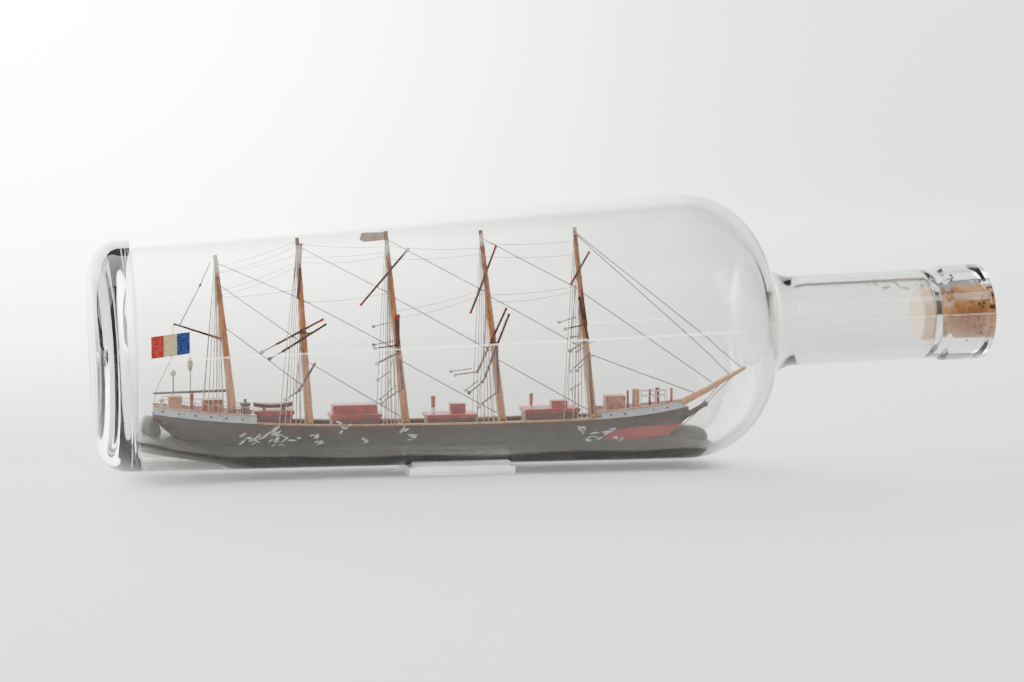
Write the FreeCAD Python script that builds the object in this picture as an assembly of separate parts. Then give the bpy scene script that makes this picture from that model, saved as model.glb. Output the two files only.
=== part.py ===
# Ship in a bottle: a five-masted model ship set in putty inside a clear bottle that lies on a saddle rest.
# Millimetres. +X runs along the bottle from its base to its mouth, +Z is up, and the ship's bow points to the mouth.
# The origin is the centre of the underside of the whole object's box. The bottle is modelled along its own
# axis (u along the axis from the base, r from the axis) and is then laid down so that its side is level.
import FreeCAD, Part
import math
import os
from FreeCAD import Vector

# ---- bottle ----
BOTTLE_LENGTH = 304.0
BASE_RADIUS = 37.5
BODY_RADIUS = 44.5
SHOULDER_START = 196.5
SHOULDER_ARC = 28.0
NECK_FILLET = 12.0
INNER_FILLET = 18.0
NECK_RADIUS = 15.2
LIP_RADIUS = 16.3
LIP_LENGTH = 17.5
LIP_ROUND = 2.4
HEEL_RADIUS = 10.0
PUSH_UP = 1.6
PUSH_UP_RADIUS = 24.0
WALL = 3.0
BASE_THICKNESS = 8.0
INNER_HEEL_RADIUS = 7.0
NECK_BORE_RADIUS = 11.5
MOUTH_RADIUS = 9.3
MOUTH_TAPER = math.radians(1.2)
MOUTH_EDGE = 0.8
MOUTH_CONE = 4.0

# ---- cork and rest ----
CORK_LENGTH = 24.0
CORK_CLEARANCE = 0.05
CORK_EDGE = 0.7
REST_LIFT = 1.6
REST_LENGTH = 35.0
REST_DEPTH = 40.0
REST_HEIGHT = 4.4
REST_STEP = 1.6
REST_GAP = 0.02
REST_CENTRE = -33.0

# ---- ship, sizes shared by its pieces ----
# The ship is drawn about a point this far along from the bottle's base, over glass at this height.
SHIP_PLACE = 151.653
SHIP_BASE_Z = 4.6
GLUE_GAP = 0.04
STERN = -132.5
BOW = 48.0
KEEL_Z = 5.4
HALF_BEAM = 7.2
SHEER_Z = 15.6
SHEER_MIDDLE = -45.0
BOW_RISE = 3.4
STERN_RISE = 5.1
BULWARK_HEIGHT = 1.9
BULWARK_THICKNESS = 0.7
PLANKING = 0.4
WELL_AFT = -99.0
WELL_FORE = 16.6
BAND_HEIGHT = 2.4
CAP_HEIGHT = 0.5
CAP_OVERHANG = 0.35
STEM_FOOT = 41.0
COUNTER = -110.0
END_DEPTH = 1.4
MAST_FOOT_RADIUS = 1.5
MAST_HEAD_RADIUS = 0.75
MAST_FOOT_LIFT = 0.3
MAST_BULKHEAD_GAP = 0.2
PIN_RADIUS = 0.35
STAY_RADIUS = 0.2
SHROUD_RADIUS = 0.15
BRACE_RADIUS = 0.11
BRACE_SIDE = 0.42
RAILING_HALF_WIDTH = 1.5
SHROUD_INSET = 0.3
YARD_RADIUS = 0.45
BEAD_RADIUS = 0.75
YARD_CLEARANCE = 0.25
TIE_RADIUS = 0.18
TIE_GAP = 0.03
TIE_HEAD = 0.12
PENDANT_RADIUS = 0.26
DECK_Z = SHEER_Z - BULWARK_HEIGHT
DECK_TOP = DECK_Z + PLANKING

X_AXIS = Vector(1, 0, 0)
Y_AXIS = Vector(0, 1, 0)
Z_AXIS = Vector(0, 0, 1)
ORIGIN = Vector(0, 0, 0)

TAPER = math.atan((BODY_RADIUS - BASE_RADIUS) / SHOULDER_START)
SIN_T = math.sin(TAPER)
COS_T = math.cos(TAPER)
TAN_T = math.tan(TAPER)
HEEL_CENTRE_R = BASE_RADIUS + HEEL_RADIUS * TAN_T - HEEL_RADIUS / COS_T
LEFT_END = HEEL_RADIUS * COS_T - HEEL_CENTRE_R * SIN_T - HEEL_RADIUS
RIGHT_END = (BOTTLE_LENGTH - LIP_ROUND) * COS_T + (LIP_RADIUS - LIP_ROUND) * SIN_T + LIP_ROUND
BOTTLE_SHIFT = Vector(-(LEFT_END + RIGHT_END) / 2, 0, REST_LIFT + BASE_RADIUS * COS_T)
INNER_BOTTOM = REST_LIFT + WALL
SHIP_SHIFT = Vector(BOTTLE_SHIFT.x + SHIP_PLACE, 0, INNER_BOTTOM - SHIP_BASE_Z)

nodes = {}


# ---------------------------------------------------------------- small helpers
def lay_down(shape):
    """Turns a shape made along the bottle's axis into its lying place."""
    laid = shape.copy()
    laid.rotate(ORIGIN, Y_AXIS, -math.degrees(TAPER))
    laid.translate(BOTTLE_SHIFT)
    return laid


def axis_point(u):
    """The place of a point of the bottle's axis, u from the base, in the lying bottle."""
    return Vector(u * COS_T, 0, u * SIN_T) + BOTTLE_SHIFT


def flat(u, r):
    """A point of a profile, in the plane that is revolved about the bottle's axis."""
    return Vector(u, 0, r)


def line(a, b):
    return Part.LineSegment(a, b).toShape()


def arc(a, middle, b):
    return Part.Arc(a, middle, b).toShape()


def revolved(edges):
    """Revolves a closed profile about the bottle's axis."""
    face = Part.Face(Part.Wire(edges))
    return face.revolve(ORIGIN, X_AXIS, 360)


def rod(a, b, radius, end_radius=None):
    """A straight round rod from a to b, tapered when an end radius is given."""
    along = b - a
    if end_radius is None or abs(end_radius - radius) < 1e-6:
        return Part.makeCylinder(radius, along.Length, a, along)
    return Part.makeCone(radius, end_radius, along.Length, a, along)


def ball(centre, radius):
    """A round ball whose seam faces +Y, away from the threads and rods that join it."""
    shape = Part.makeSphere(radius, centre)
    shape.rotate(centre, Z_AXIS, 90)
    return shape


def thread(points, radius):
    """A thread pulled straight from point to point, with a round joint at each bend."""
    spans = [rod(a, b, radius) for a, b in zip(points, points[1:])]
    bends = [ball(p, radius) for p in points[1:-1]]
    whole = spans[0]
    if spans[1:] + bends:
        whole = whole.fuse(spans[1:] + bends)
    return whole


def slack_thread(a, b, sag, radius):
    """A slack thread from a to b as one arc, whose middle hangs below the chord by sag."""
    middle = (a + b) * 0.5 - Z_AXIS * sag
    path = Part.Wire([arc(a, middle, b)])
    start = path.Edges[0].tangentAt(path.Edges[0].FirstParameter)
    section = Part.Wire([Part.makeCircle(radius, a, start)])
    return path.makePipe(Part.Face(section))


def box(x0, x1, half_width, z0, z1, y=0.0):
    return Part.makeBox(x1 - x0, 2 * half_width, z1 - z0, Vector(x0, y - half_width, z0))


def eased(shape, radius):
    """Rounds the upright edges of a box-like shape."""
    upright = [e for e in shape.Edges if abs(e.tangentAt(e.FirstParameter).z) > 0.99]
    return shape.makeFillet(radius, upright)


def stretched_ball(centre, rx, ry, rz):
    matrix = FreeCAD.Matrix()
    matrix.scale(rx, ry, rz)
    lump = Part.makeSphere(1.0).transformGeometry(matrix)
    lump.translate(centre)
    return lump


# ---------------------------------------------------------------- bottle, cork and rest
def shoulder(start_u, start_r, convex, neck_r, concave):
    """The edges from the end of the tapered side, round the shoulder and the fillet, to the neck's start."""
    start = flat(start_u, start_r)
    c1 = start + flat(SIN_T, -COS_T) * convex
    c2_r = neck_r + concave
    c2 = flat(c1.x + math.sqrt((convex + concave) ** 2 - (c2_r - c1.z) ** 2), c2_r)
    join = c1 + (c2 - c1) * (convex / (convex + concave))
    out = ((start - c1) + (join - c1)).normalize() * convex
    neck = flat(c2.x, neck_r)
    back = ((join - c2) + (neck - c2)).normalize() * concave
    return [arc(start, c1 + out, join), arc(join, c2 + back, neck)], neck


def heel(corner_u, radius, radius_at):
    """The arc that rounds the corner between a flat base at corner_u and the tapered side."""
    centre_u = corner_u + radius
    centre_r = radius_at(centre_u) - radius / COS_T
    centre = flat(centre_u, centre_r)
    low = flat(corner_u, centre_r)
    high = centre + flat(-SIN_T, COS_T) * radius
    middle = centre + ((low - centre) + (high - centre)).normalize() * radius
    return low, arc(low, middle, high), high


def outer_radius(u):
    return BASE_RADIUS + u * TAN_T


def inner_radius(u):
    return outer_radius(u) - WALL / COS_T


def inner_edges(inset):
    """The inside of the bottle from the centre of its base to the neck's start, drawn in by inset."""
    low, corner, high = heel(BASE_THICKNESS + inset, INNER_HEEL_RADIUS, lambda u: inner_radius(u) - inset)
    turn = flat(SHOULDER_START, inner_radius(SHOULDER_START) - inset)
    curve, neck = shoulder(turn.x, turn.z, SHOULDER_ARC - WALL, NECK_BORE_RADIUS - inset, INNER_FILLET)
    start = flat(BASE_THICKNESS + inset, 0)
    return [line(start, low), corner, line(high, turn)] + curve, start, neck


def mouth_radius(u):
    """The tapered bore that the cork seats in, widest at the lip."""
    return MOUTH_RADIUS - (BOTTLE_LENGTH - u) * math.tan(MOUTH_TAPER)


def make_bottle():
    push = flat(PUSH_UP, 0)
    foot = flat(0, PUSH_UP_RADIUS)
    dome = (PUSH_UP_RADIUS ** 2 + PUSH_UP ** 2) / (2 * PUSH_UP)
    half = math.asin(PUSH_UP_RADIUS / dome) / 2
    dome_middle = flat(PUSH_UP - dome * (1 - math.cos(half)), dome * math.sin(half))
    low, corner, high = heel(0, HEEL_RADIUS, outer_radius)
    turn = flat(SHOULDER_START, outer_radius(SHOULDER_START))
    curve, neck = shoulder(turn.x, turn.z, SHOULDER_ARC, NECK_RADIUS, NECK_FILLET)
    lip_start = BOTTLE_LENGTH - LIP_LENGTH
    step = LIP_RADIUS - NECK_RADIUS
    k = 1 - math.sqrt(0.5)
    points = [
        neck,
        flat(lip_start, NECK_RADIUS),
        flat(lip_start + step, LIP_RADIUS),
        flat(BOTTLE_LENGTH - LIP_ROUND, LIP_RADIUS),
        flat(BOTTLE_LENGTH, LIP_RADIUS - LIP_ROUND),
        flat(BOTTLE_LENGTH, MOUTH_RADIUS + MOUTH_EDGE),
        flat(BOTTLE_LENGTH - MOUTH_EDGE, mouth_radius(BOTTLE_LENGTH - MOUTH_EDGE)),
        flat(lip_start, mouth_radius(lip_start)),
        flat(lip_start - MOUTH_CONE, NECK_BORE_RADIUS),
    ]
    lip_middle = flat(BOTTLE_LENGTH - LIP_ROUND * k, LIP_RADIUS - LIP_ROUND * k)
    edge_middle = flat(BOTTLE_LENGTH - MOUTH_EDGE * k, MOUTH_RADIUS + MOUTH_EDGE * k)
    inside, inside_start, inside_neck = inner_edges(0)
    edges = [arc(push, dome_middle, foot), line(foot, low), corner, line(high, turn)] + curve
    edges += [line(points[i], points[i + 1]) for i in range(3)]
    edges += [arc(points[3], lip_middle, points[4]), line(points[4], points[5])]
    edges += [arc(points[5], edge_middle, points[6])]
    edges += [line(points[6], points[7]), line(points[7], points[8]), line(points[8], inside_neck)]
    edges += list(reversed(inside))
    edges += [line(inside_start, push)]
    return lay_down(revolved(edges))


def make_cork():
    end = BOTTLE_LENGTH - CORK_LENGTH
    face_r = MOUTH_RADIUS - CORK_CLEARANCE
    end_r = mouth_radius(end) - CORK_CLEARANCE
    points = [
        flat(end, 0),
        flat(end, end_r - CORK_EDGE),
        flat(end + CORK_EDGE, end_r),
        flat(BOTTLE_LENGTH - CORK_EDGE, face_r - CORK_EDGE * math.tan(MOUTH_TAPER)),
        flat(BOTTLE_LENGTH, face_r - CORK_EDGE),
        flat(BOTTLE_LENGTH, 0),
    ]
    return lay_down(revolved([line(a, b) for a, b in zip(points, points[1:] + points[:1])]))


def side_cone(extra):
    """The tapered side of the bottle as a solid, larger by extra, to cut a saddle with."""
    low = outer_radius(0) + extra
    high = outer_radius(SHOULDER_START) + extra
    return lay_down(Part.makeCone(low, high, SHOULDER_START, ORIGIN, X_AXIS))


def make_rest():
    x0 = REST_CENTRE - REST_LENGTH / 2
    block = box(x0, x0 + REST_LENGTH, REST_DEPTH / 2, 0, REST_HEIGHT)
    for x, sign in ((x0, 1), (x0 + REST_LENGTH, -1)):
        ledge = box(min(x, x + sign * REST_STEP), max(x, x + sign * REST_STEP), REST_DEPTH,
                    REST_HEIGHT - REST_STEP, REST_HEIGHT)
        block = block.cut(ledge)
    return block.cut(side_cone(REST_GAP))


# ---------------------------------------------------------------- hull
def along(x):
    return (x - STERN) / (BOW - STERN)


def half_breadth(x):
    """Half the ship's breadth at the deck: a round stern, straight sides and a fine bow."""
    stern_part = 0.12
    bow_part = 0.28
    t = along(x)
    if t < stern_part:
        return HALF_BEAM * math.sqrt(max(1 - (1 - t / stern_part) ** 2 * 0.8, 0))
    if t > 1 - bow_part:
        return max(HALF_BEAM * (1 - ((t - 1 + bow_part) / bow_part) ** 2.2), 0.5)
    return HALF_BEAM


def sheer(x):
    """The height of the hull's upper edge, which rises to the bow and the stern."""
    if x > SHEER_MIDDLE:
        return SHEER_Z + BOW_RISE * ((x - SHEER_MIDDLE) / (BOW - SHEER_MIDDLE)) ** 5
    return SHEER_Z + STERN_RISE * ((SHEER_MIDDLE - x) / (SHEER_MIDDLE - STERN)) ** 2.5


def stations(x0, x1, count):
    return [x0 + (x1 - x0) * i / (count - 1) for i in range(count)]


def hull_slab(x0, x1, low, high, inset, count=14):
    """A solid between two heights, functions of x, whose sides follow the hull's outline, drawn in by inset."""
    sections = []
    for x in stations(x0, x1, count):
        b = max(half_breadth(x) - inset, 0.12)
        corners = [Vector(x, -b, low(x)), Vector(x, b, low(x)), Vector(x, b, high(x)), Vector(x, -b, high(x))]
        sections.append(Part.makePolygon(corners + corners[:1]))
    return Part.makeLoft(sections, True, True)


def keel(x):
    """The height of the hull's lower edge, which rises in a raked stem and a short counter at the stern."""
    rise = sheer(x) - KEEL_Z - END_DEPTH
    if x > STEM_FOOT:
        return KEEL_Z + rise * ((x - STEM_FOOT) / (BOW - STEM_FOOT)) ** 1.2
    if x < COUNTER:
        return KEEL_Z + rise * ((COUNTER - x) / (COUNTER - STERN)) ** 1.6
    return KEEL_Z


def hull_section(x):
    """One section: a flat keel, a round bilge and an upright side up to the sheer."""
    b = half_breadth(x)
    top = sheer(x)
    low = keel(x)
    depth = top - low
    points = [
        Vector(x, -b * 0.25, low),
        Vector(x, -b * 0.75, low + depth * 0.12),
        Vector(x, -b * 0.97, low + depth * 0.42),
        Vector(x, -b, top),
    ]
    mirrored = [Vector(p.x, -p.y, p.z) for p in reversed(points)]
    side = Part.BSplineCurve()
    side.interpolate(points)
    other = Part.BSplineCurve()
    other.interpolate(mirrored)
    return Part.Wire([side.toShape(), line(points[-1], mirrored[0]), other.toShape(), line(mirrored[-1], points[0])])


def make_hull():
    after = stations(STERN, COUNTER, 8)
    middle = stations(COUNTER + 4.0, STEM_FOOT - 2.0, 24)
    stem = stations(STEM_FOOT, BOW, 8)
    body = Part.makeLoft([hull_section(x) for x in after + middle + stem], True, True)
    well = hull_slab(WELL_AFT, WELL_FORE, lambda x: DECK_Z, lambda x: sheer(x) + 2, BULWARK_THICKNESS)
    return body.cut(well)


def ring_slab(x0, x1, low, high, thickness, inset=0.0):
    """A wall that follows the hull's outline between two heights, open inside, and open at its ends."""
    outer = hull_slab(x0, x1, low, high, inset)
    inner = hull_slab(x0 - 0.01, x1 + 0.01, lambda x: low(x) - 1, lambda x: high(x) + 1, inset + thickness)
    return outer.cut(inner)


def make_decks_and_bulwarks():
    nodes["main_deck"] = hull_slab(
        WELL_AFT + GLUE_GAP, WELL_FORE - GLUE_GAP, lambda x: DECK_Z, lambda x: DECK_TOP,
        BULWARK_THICKNESS + GLUE_GAP)
    ends = {"poop": (STERN + 0.3, WELL_AFT), "forecastle": (WELL_FORE, BOW - 0.8)}
    for name, (x0, x1) in ends.items():
        nodes[name + "_deck"] = hull_slab(x0 + 0.8, x1 - 0.5, sheer, lambda x: sheer(x) + BAND_HEIGHT - 0.9, 0.75)
        nodes[name + "_bulwark"] = ring_slab(x0, x1, sheer, lambda x: sheer(x) + BAND_HEIGHT, 0.6)
    rail_width = BULWARK_THICKNESS + 2 * CAP_OVERHANG
    main_rail = ring_slab(WELL_AFT + GLUE_GAP, WELL_FORE - GLUE_GAP, sheer,
                          lambda x: sheer(x) + CAP_HEIGHT, rail_width, -CAP_OVERHANG)
    rails = list(main_rail.Solids)
    for x0, x1 in ends.values():
        rails += ring_slab(x0, x1, lambda x: sheer(x) + BAND_HEIGHT, lambda x: sheer(x) + BAND_HEIGHT + CAP_HEIGHT,
                           0.6 + CAP_OVERHANG, -CAP_OVERHANG).Solids
    nodes["cap_rails"] = Part.makeCompound(rails)


def deck_at(x):
    """The height of the deck that a piece at x stands on."""
    if WELL_AFT < x < WELL_FORE:
        return DECK_TOP
    return sheer(x) + BAND_HEIGHT - 0.9


def standing_box(x0, x1, half_width, top, radius=0.5):
    """A deckhouse or locker, its foot at the lowest height of the deck below it."""
    foot = min(deck_at(x0), deck_at(x1))
    return eased(box(x0, x1, half_width, foot, top), radius)


def scribe(names, supports):
    """Trims the feet of the named pieces to the pieces that they stand on."""
    for name in names:
        for support in supports:
            nodes[name] = nodes[name].cut(nodes[support])


# ---------------------------------------------------------------- houses and deck fittings
HOUSES = {
    "aft_house": (-98.6, -86.7, 4.2, 19.6),
    "midship_house": (-73.8, -57.8, 4.4, 17.9),
    "galley_house": (-42.1, -25.6, 4.4, 17.3),
    "fore_house": (-9.0, 9.0, 4.4, 18.4),
}
ROOF_OVERHANG = 1.1
ROOF_HEIGHT = 1.3
UPPER_HOUSES = {
    "midship_house": (-73.4, -58.6, 3.2, 22.2),
    "galley_house": (-34.1, -28.8, 2.0, 21.8),
    "fore_house": (0.2, 5.6, 2.2, 22.0),
}
FUNNELS = ((-39.6, 0.75, "galley_house", 24.4), (-6.4, 0.6, "fore_house", 24.6))


def make_houses():
    roofs = []
    for name, (x0, x1, half, top) in HOUSES.items():
        nodes[name] = standing_box(x0, x1, half, top)
        roofs.append(eased(box(x0 - ROOF_OVERHANG / 2, x1 + ROOF_OVERHANG / 2, half + ROOF_OVERHANG / 2,
                               top, top + ROOF_HEIGHT), 0.7))
    nodes["house_roofs"] = Part.makeCompound(roofs)
    uppers = []
    for name, (x0, x1, half, top) in UPPER_HOUSES.items():
        uppers.append(eased(box(x0, x1, half, HOUSES[name][3] + ROOF_HEIGHT, top), 0.5))
    nodes["skylights"] = Part.makeCompound(uppers)
    funnels = []
    for x, radius, name, top in FUNNELS:
        foot = HOUSES[name][3] + ROOF_HEIGHT
        stack = rod(Vector(x, 0, foot), Vector(x, 0, top), radius)
        collar = rod(Vector(x, 0, top - 0.9), Vector(x, 0, top - 0.5), radius + 0.2)
        funnels.append(stack.fuse(collar))
    nodes["funnels"] = Part.makeCompound(funnels)


def make_lifeboat():
    """A boat stowed on the aft house, pointed at both ends, on two chocks."""
    x0, x1, half, top = HOUSES["aft_house"]
    low = top + ROOF_HEIGHT + 0.5
    sections = []
    for i in range(9):
        t = i / 8
        x = x0 - 0.8 + (x1 - x0 + 1.2) * t
        b = max(half * 0.62 * math.sin(math.pi * (0.06 + 0.88 * t)) ** 0.6, 0.2)
        keel = low + 0.5 * abs(2 * t - 1) ** 3
        rim = low + 1.5 + 0.5 * abs(2 * t - 1) ** 2
        corners = [Vector(x, -b * 0.3, keel), Vector(x, b * 0.3, keel), Vector(x, b, rim), Vector(x, -b, rim)]
        sections.append(Part.makePolygon(corners + corners[:1]))
    boat = Part.makeLoft(sections, True, True)
    middle = (x0 + x1) / 2
    chocks = [box(middle + s * 3.2 - 0.4, middle + s * 3.2 + 0.4, 1.6, top + ROOF_HEIGHT, low + 0.3) for s in (-1, 1)]
    nodes["lifeboat"] = boat.fuse(chocks)


def post(x, y, radius, top, knob=0.0):
    """A turned post on the deck, with a round knob when one is given."""
    shape = rod(Vector(x, y, deck_at(x)), Vector(x, y, top), radius)
    if knob:
        shape = shape.fuse(ball(Vector(x, y, top), knob))
    return shape


def make_poop_fittings():
    nodes["poop_cabin"] = standing_box(-116.2, -109.3, 3.0, 24.8)
    nodes["stern_locker"] = standing_box(-127.3, -122.7, 2.2, 26.0)
    nodes["binnacle"] = post(-119.6, -1.6, 0.6, 26.2, 0.8)
    cap = stretched_ball(Vector(-129.4, -2.2, 25.0), 1.0, 1.0, 0.6)
    nodes["ventilator"] = post(-129.4, -2.2, 0.5, 25.0).fuse(cap)
    drum = rod(Vector(-102.0, 0, deck_at(-102.0)), Vector(-102.0, 0, 22.4), 1.5)
    head = rod(Vector(-102.0, 0, 22.4), Vector(-102.0, 0, 23.3), 1.9)
    nodes["capstan"] = drum.fuse([head, rod(Vector(-102.0, 0, 23.3), Vector(-102.0, 0, 24.6), 0.5)])
    lamps = []
    for x, y, foot, low, high, radius in ((-125.2, 4.2, 0.3, 31.8, 34.0, 0.9), (-119.6, 4.6, 0.25, 33.4, 38.0, 0.95)):
        stem = rod(Vector(x, y, deck_at(x)), Vector(x, y, low), foot)
        glassy = stretched_ball(Vector(x, y, (low + high) / 2), radius, radius, (high - low) / 2 + 0.1)
        lamps.append(stem.fuse(glassy))
    nodes["stern_lamps"] = Part.makeCompound(lamps)


def make_forecastle_fittings():
    nodes["windlass_house"] = standing_box(18.7, 25.6, 2.6, 23.3)
    nodes["cask"] = rod(Vector(29.4, -0.8, deck_at(29.4)), Vector(29.4, -0.8, 25.4), 1.25)
    posts = [post(27.2, 1.6, 0.45, 24.6), post(34.4, -0.4, 0.45, 25.2), post(37.2, 0.2, 0.75, 25.6),
             post(42.0, 0.0, 0.5, 25.4)]
    nodes["fore_bollards"] = Part.makeCompound(posts)
    rails = []
    for y in (-RAILING_HALF_WIDTH, RAILING_HALF_WIDTH):
        uprights = [rod(Vector(x, y, deck_at(x)), Vector(x, y, 24.6), 0.16) for x in (31.2, 36.4, 40.0)]
        bars = [rod(Vector(31.2, y, z), Vector(40.0, y, z), 0.16) for z in (22.9, 24.6)]
        rails.append(uprights[0].fuse(uprights[1:] + bars))
    nodes["forecastle_railing"] = Part.makeCompound(rails)


# ---------------------------------------------------------------- masts and spars
BOWSPRIT_HEEL = Vector(45.6, 0, 20.3)
BOWSPRIT_TIP = Vector(69.2, 0, 31.7)
BOWSPRIT_HEEL_RADIUS = 1.3
BOWSPRIT_TIP_RADIUS = 0.7


def on_bowsprit(part):
    """A point of the bowsprit's middle line, as a part of its length from its heel."""
    return BOWSPRIT_HEEL + (BOWSPRIT_TIP - BOWSPRIT_HEEL) * part


# The line of the glass over the ship: its height at one place, and how much it rises along the bottle.
GLASS_RISE = math.tan(2 * TAPER)
GLASS_ABOVE = axis_point(SHIP_PLACE) + Vector(-SIN_T, 0, COS_T) * inner_radius(SHIP_PLACE) - SHIP_SHIFT


class Mast:
    """A tapered stick that leans aft, with its foot hinged on the deck and its head that far under the glass."""

    def __init__(self, foot_x, headroom, rake):
        self.foot = Vector(foot_x, 0, deck_at(foot_x) + MAST_FOOT_LIFT)
        self.lean = math.tan(math.radians(rake))
        reach = self.foot.x + self.foot.z * self.lean - GLASS_ABOVE.x
        top_z = (GLASS_ABOVE.z + reach * GLASS_RISE - headroom) / (1 + self.lean * GLASS_RISE)
        self.top = Vector(foot_x - (top_z - self.foot.z) * self.lean, 0, top_z)

    def at(self, z):
        return Vector(self.foot.x - (z - self.foot.z) * self.lean, 0, z)

    def radius(self, z):
        t = (z - self.foot.z) / (self.top.z - self.foot.z)
        return MAST_FOOT_RADIUS + (MAST_HEAD_RADIUS - MAST_FOOT_RADIUS) * t


# Each mast: the place of its foot, the room over its head, and its rake aft in degrees.
MASTS = {
    1: Mast(WELL_FORE - MAST_FOOT_RADIUS - MAST_BULKHEAD_GAP, 5.16, 5.7),
    2: Mast(-16.1, 3.58, 6.6),
    3: Mast(-48.8, 1.11, 5.7),
    4: Mast(-80.8, 1.12, 3.5),
    5: Mast(-106.1, 4.51, 5.8),
}
BAND_LEVELS = (0.16, 0.35, 0.55, 0.74, 0.9)
STEP_GAP = 0.03


def make_masts():
    pins = []
    steps = []
    for number, mast in MASTS.items():
        stick = rod(mast.foot, mast.top, MAST_FOOT_RADIUS, MAST_HEAD_RADIUS)
        bands = []
        for level in BAND_LEVELS:
            z = mast.foot.z + (mast.top.z - mast.foot.z) * level
            bands.append(rod(mast.at(z), mast.at(z + 0.7), mast.radius(z) + 0.14))
        pin_z = mast.foot.z + 1.0
        pin_at = mast.at(pin_z)
        reach = MAST_FOOT_RADIUS + 0.75
        pin = rod(pin_at - Y_AXIS * reach, pin_at + Y_AXIS * reach, PIN_RADIUS)
        hole = rod(pin_at - Y_AXIS * reach, pin_at + Y_AXIS * reach, PIN_RADIUS + STEP_GAP)
        nodes["mast_%d" % number] = stick.fuse(bands).cut(hole)
        pins.append(pin)
        cheeks = []
        for side in (-1, 1):
            y = side * (MAST_FOOT_RADIUS + 0.12 + 0.3)
            cheek = box(pin_at.x - 0.9, pin_at.x + 0.9, 0.3, deck_at(mast.foot.x), pin_z + 0.9, y)
            cheeks.append(cheek.cut(hole))
        steps += cheeks
    nodes["mast_hinge_pins"] = Part.makeCompound(pins)
    nodes["mast_steps"] = Part.makeCompound(steps)


def make_spars():
    nodes["bowsprit"] = rod(BOWSPRIT_HEEL, BOWSPRIT_TIP, BOWSPRIT_HEEL_RADIUS, BOWSPRIT_TIP_RADIUS)
    knee_end = Vector(53.8, 0, 19.6)
    knee = rod(Vector(44.6, 0, 14.4), knee_end, 1.3, 0.75).fuse(ball(knee_end, 1.05))
    nodes["stem_knee"] = knee.cut(nodes["hull"])
    mizzen = MASTS[5]
    root = mizzen.at(44.4) - X_AXIS * (mizzen.radius(44.4) - 0.05)
    nodes["gaff"] = rod(root, Vector(-125.3, 0, 49.6), 0.5, 0.38)
    boom_root = mizzen.at(27.4) - X_AXIS * (mizzen.radius(27.4) - 0.05)
    nodes["boom"] = rod(boom_root, Vector(-132.2, 0, 27.0), 0.55, 0.4)
    corners = [Vector(-132.7, 0, 45.4), Vector(-119.9, 0, 46.9), Vector(-119.9, 0, 39.7), Vector(-132.7, 0, 38.1)]
    cloth = Part.Face(Part.makePolygon(corners + corners[:1])).extrude(Y_AXIS * 0.3)
    nodes["flag"] = cloth
    m3 = MASTS[3]
    head = m3.top.z
    edge = m3.at(head - 2.0) - X_AXIS * (m3.radius(head - 2.0) - 0.05)
    plate = [Vector(edge.x, 0, head - 0.4), Vector(edge.x - 7.4, 0, head - 0.4), Vector(edge.x - 8.3, 0, head - 3.0),
             Vector(edge.x - 6.6, 0, head - 3.8), Vector(edge.x, 0, head - 3.2)]
    nodes["masthead_pennant"] = Part.Face(Part.makePolygon(plate + plate[:1])).extrude(Y_AXIS * 0.4)


# Each yard: the height of its tie on the mast, its lean from upright towards the bow in degrees, the arm above
# the tie, the arm below it, and the pendants, each a thread stub with a bead from the lower or upper end.
# A pendant: end of the yard (1 upper, -1 lower), run aft, run down.
YARDS = {
    ("royal", 1): ((66.0, 30.0, 6.4, 5.4, ()),),
    ("topsail", 1): (
        (47.6, -12.0, 9.0, 5.4, ((-1, 6.4, 3.6),)),
        (52.6, -8.0, 6.5, 5.0, ((-1, 7.4, 1.5),)),
    ),
    ("course", 1): ((27.5, -3.0, 10.2, 9.8, ((1, 6.4, 5.6),)),),
    ("royal", 2): ((65.2, 21.0, 8.8, 14.2, ()),),
    ("topsail", 2): (
        (43.9, 25.0, 10.0, 12.8, ((-1, 7.4, 0.8),)),
        (39.9, 21.5, 12.0, 11.6, ((-1, 4.8, 3.4),)),
    ),
    ("course", 2): ((30.6, -2.0, 10.4, 4.9, ((-1, 6.9, 4.8),)),),
    ("royal", 3): ((66.4, 40.8, 9.2, 15.0, ()),),
    ("topsail", 3): (
        (46.4, -2.0, 4.5, 4.9, ((-1, 7.6, 1.0),)),
        (42.4, 0.5, 9.0, 3.4, ((-1, 7.2, 3.2),)),
    ),
    ("course", 3): ((31.8, -4.5, 5.0, 4.4, ((-1, 7.0, 4.6),)),),
    ("royal", 4): ((66.6, 4.0, 8.4, 9.0, ()),),
    ("topsail", 4): (
        (47.1, 62.7, 7.0, 9.6, ((-1, 5.2, 2.6),)),
        (44.6, 58.7, 8.0, 8.2, ((-1, 4.6, 2.4),)),
    ),
    ("course", 4): ((31.4, 31.0, 5.2, 4.6, ((-1, 4.6, 3.0),)),),
}
SECOND_YARD_STEP = 1.4
LASHING_REACH = 2.3
LASHING_RADIUS = 0.3


def make_tie(mast, tie):
    """The knotted end of thread that a yard turns on, from inside its mast to a flat knot before the yard."""
    root = Vector(tie.x, -mast.radius(tie.z) * 0.6, tie.z)
    front = tie - Y_AXIS * (YARD_RADIUS + TIE_GAP)
    return rod(root, front, TIE_RADIUS).fuse(rod(front, front - Y_AXIS * TIE_HEAD, TIE_RADIUS * 2))


def make_yard(tie, lean, upper, lower, pendants):
    """The pieces of one yard with its pendants, and the direction it lies in."""
    direction = Vector(math.sin(math.radians(lean)), 0, math.cos(math.radians(lean)))
    high = tie + direction * upper
    low = tie - direction * lower
    pieces = [ball(high, YARD_RADIUS * 1.25), ball(low, YARD_RADIUS * 1.25)]
    for end, aft, down in pendants:
        start = high if end > 0 else low
        bead = start + Vector(-aft, -BEAD_RADIUS, -down)
        pieces += [rod(start, bead, PENDANT_RADIUS), ball(bead, BEAD_RADIUS)]
    return [rod(low, high, YARD_RADIUS)] + pieces, direction


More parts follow.
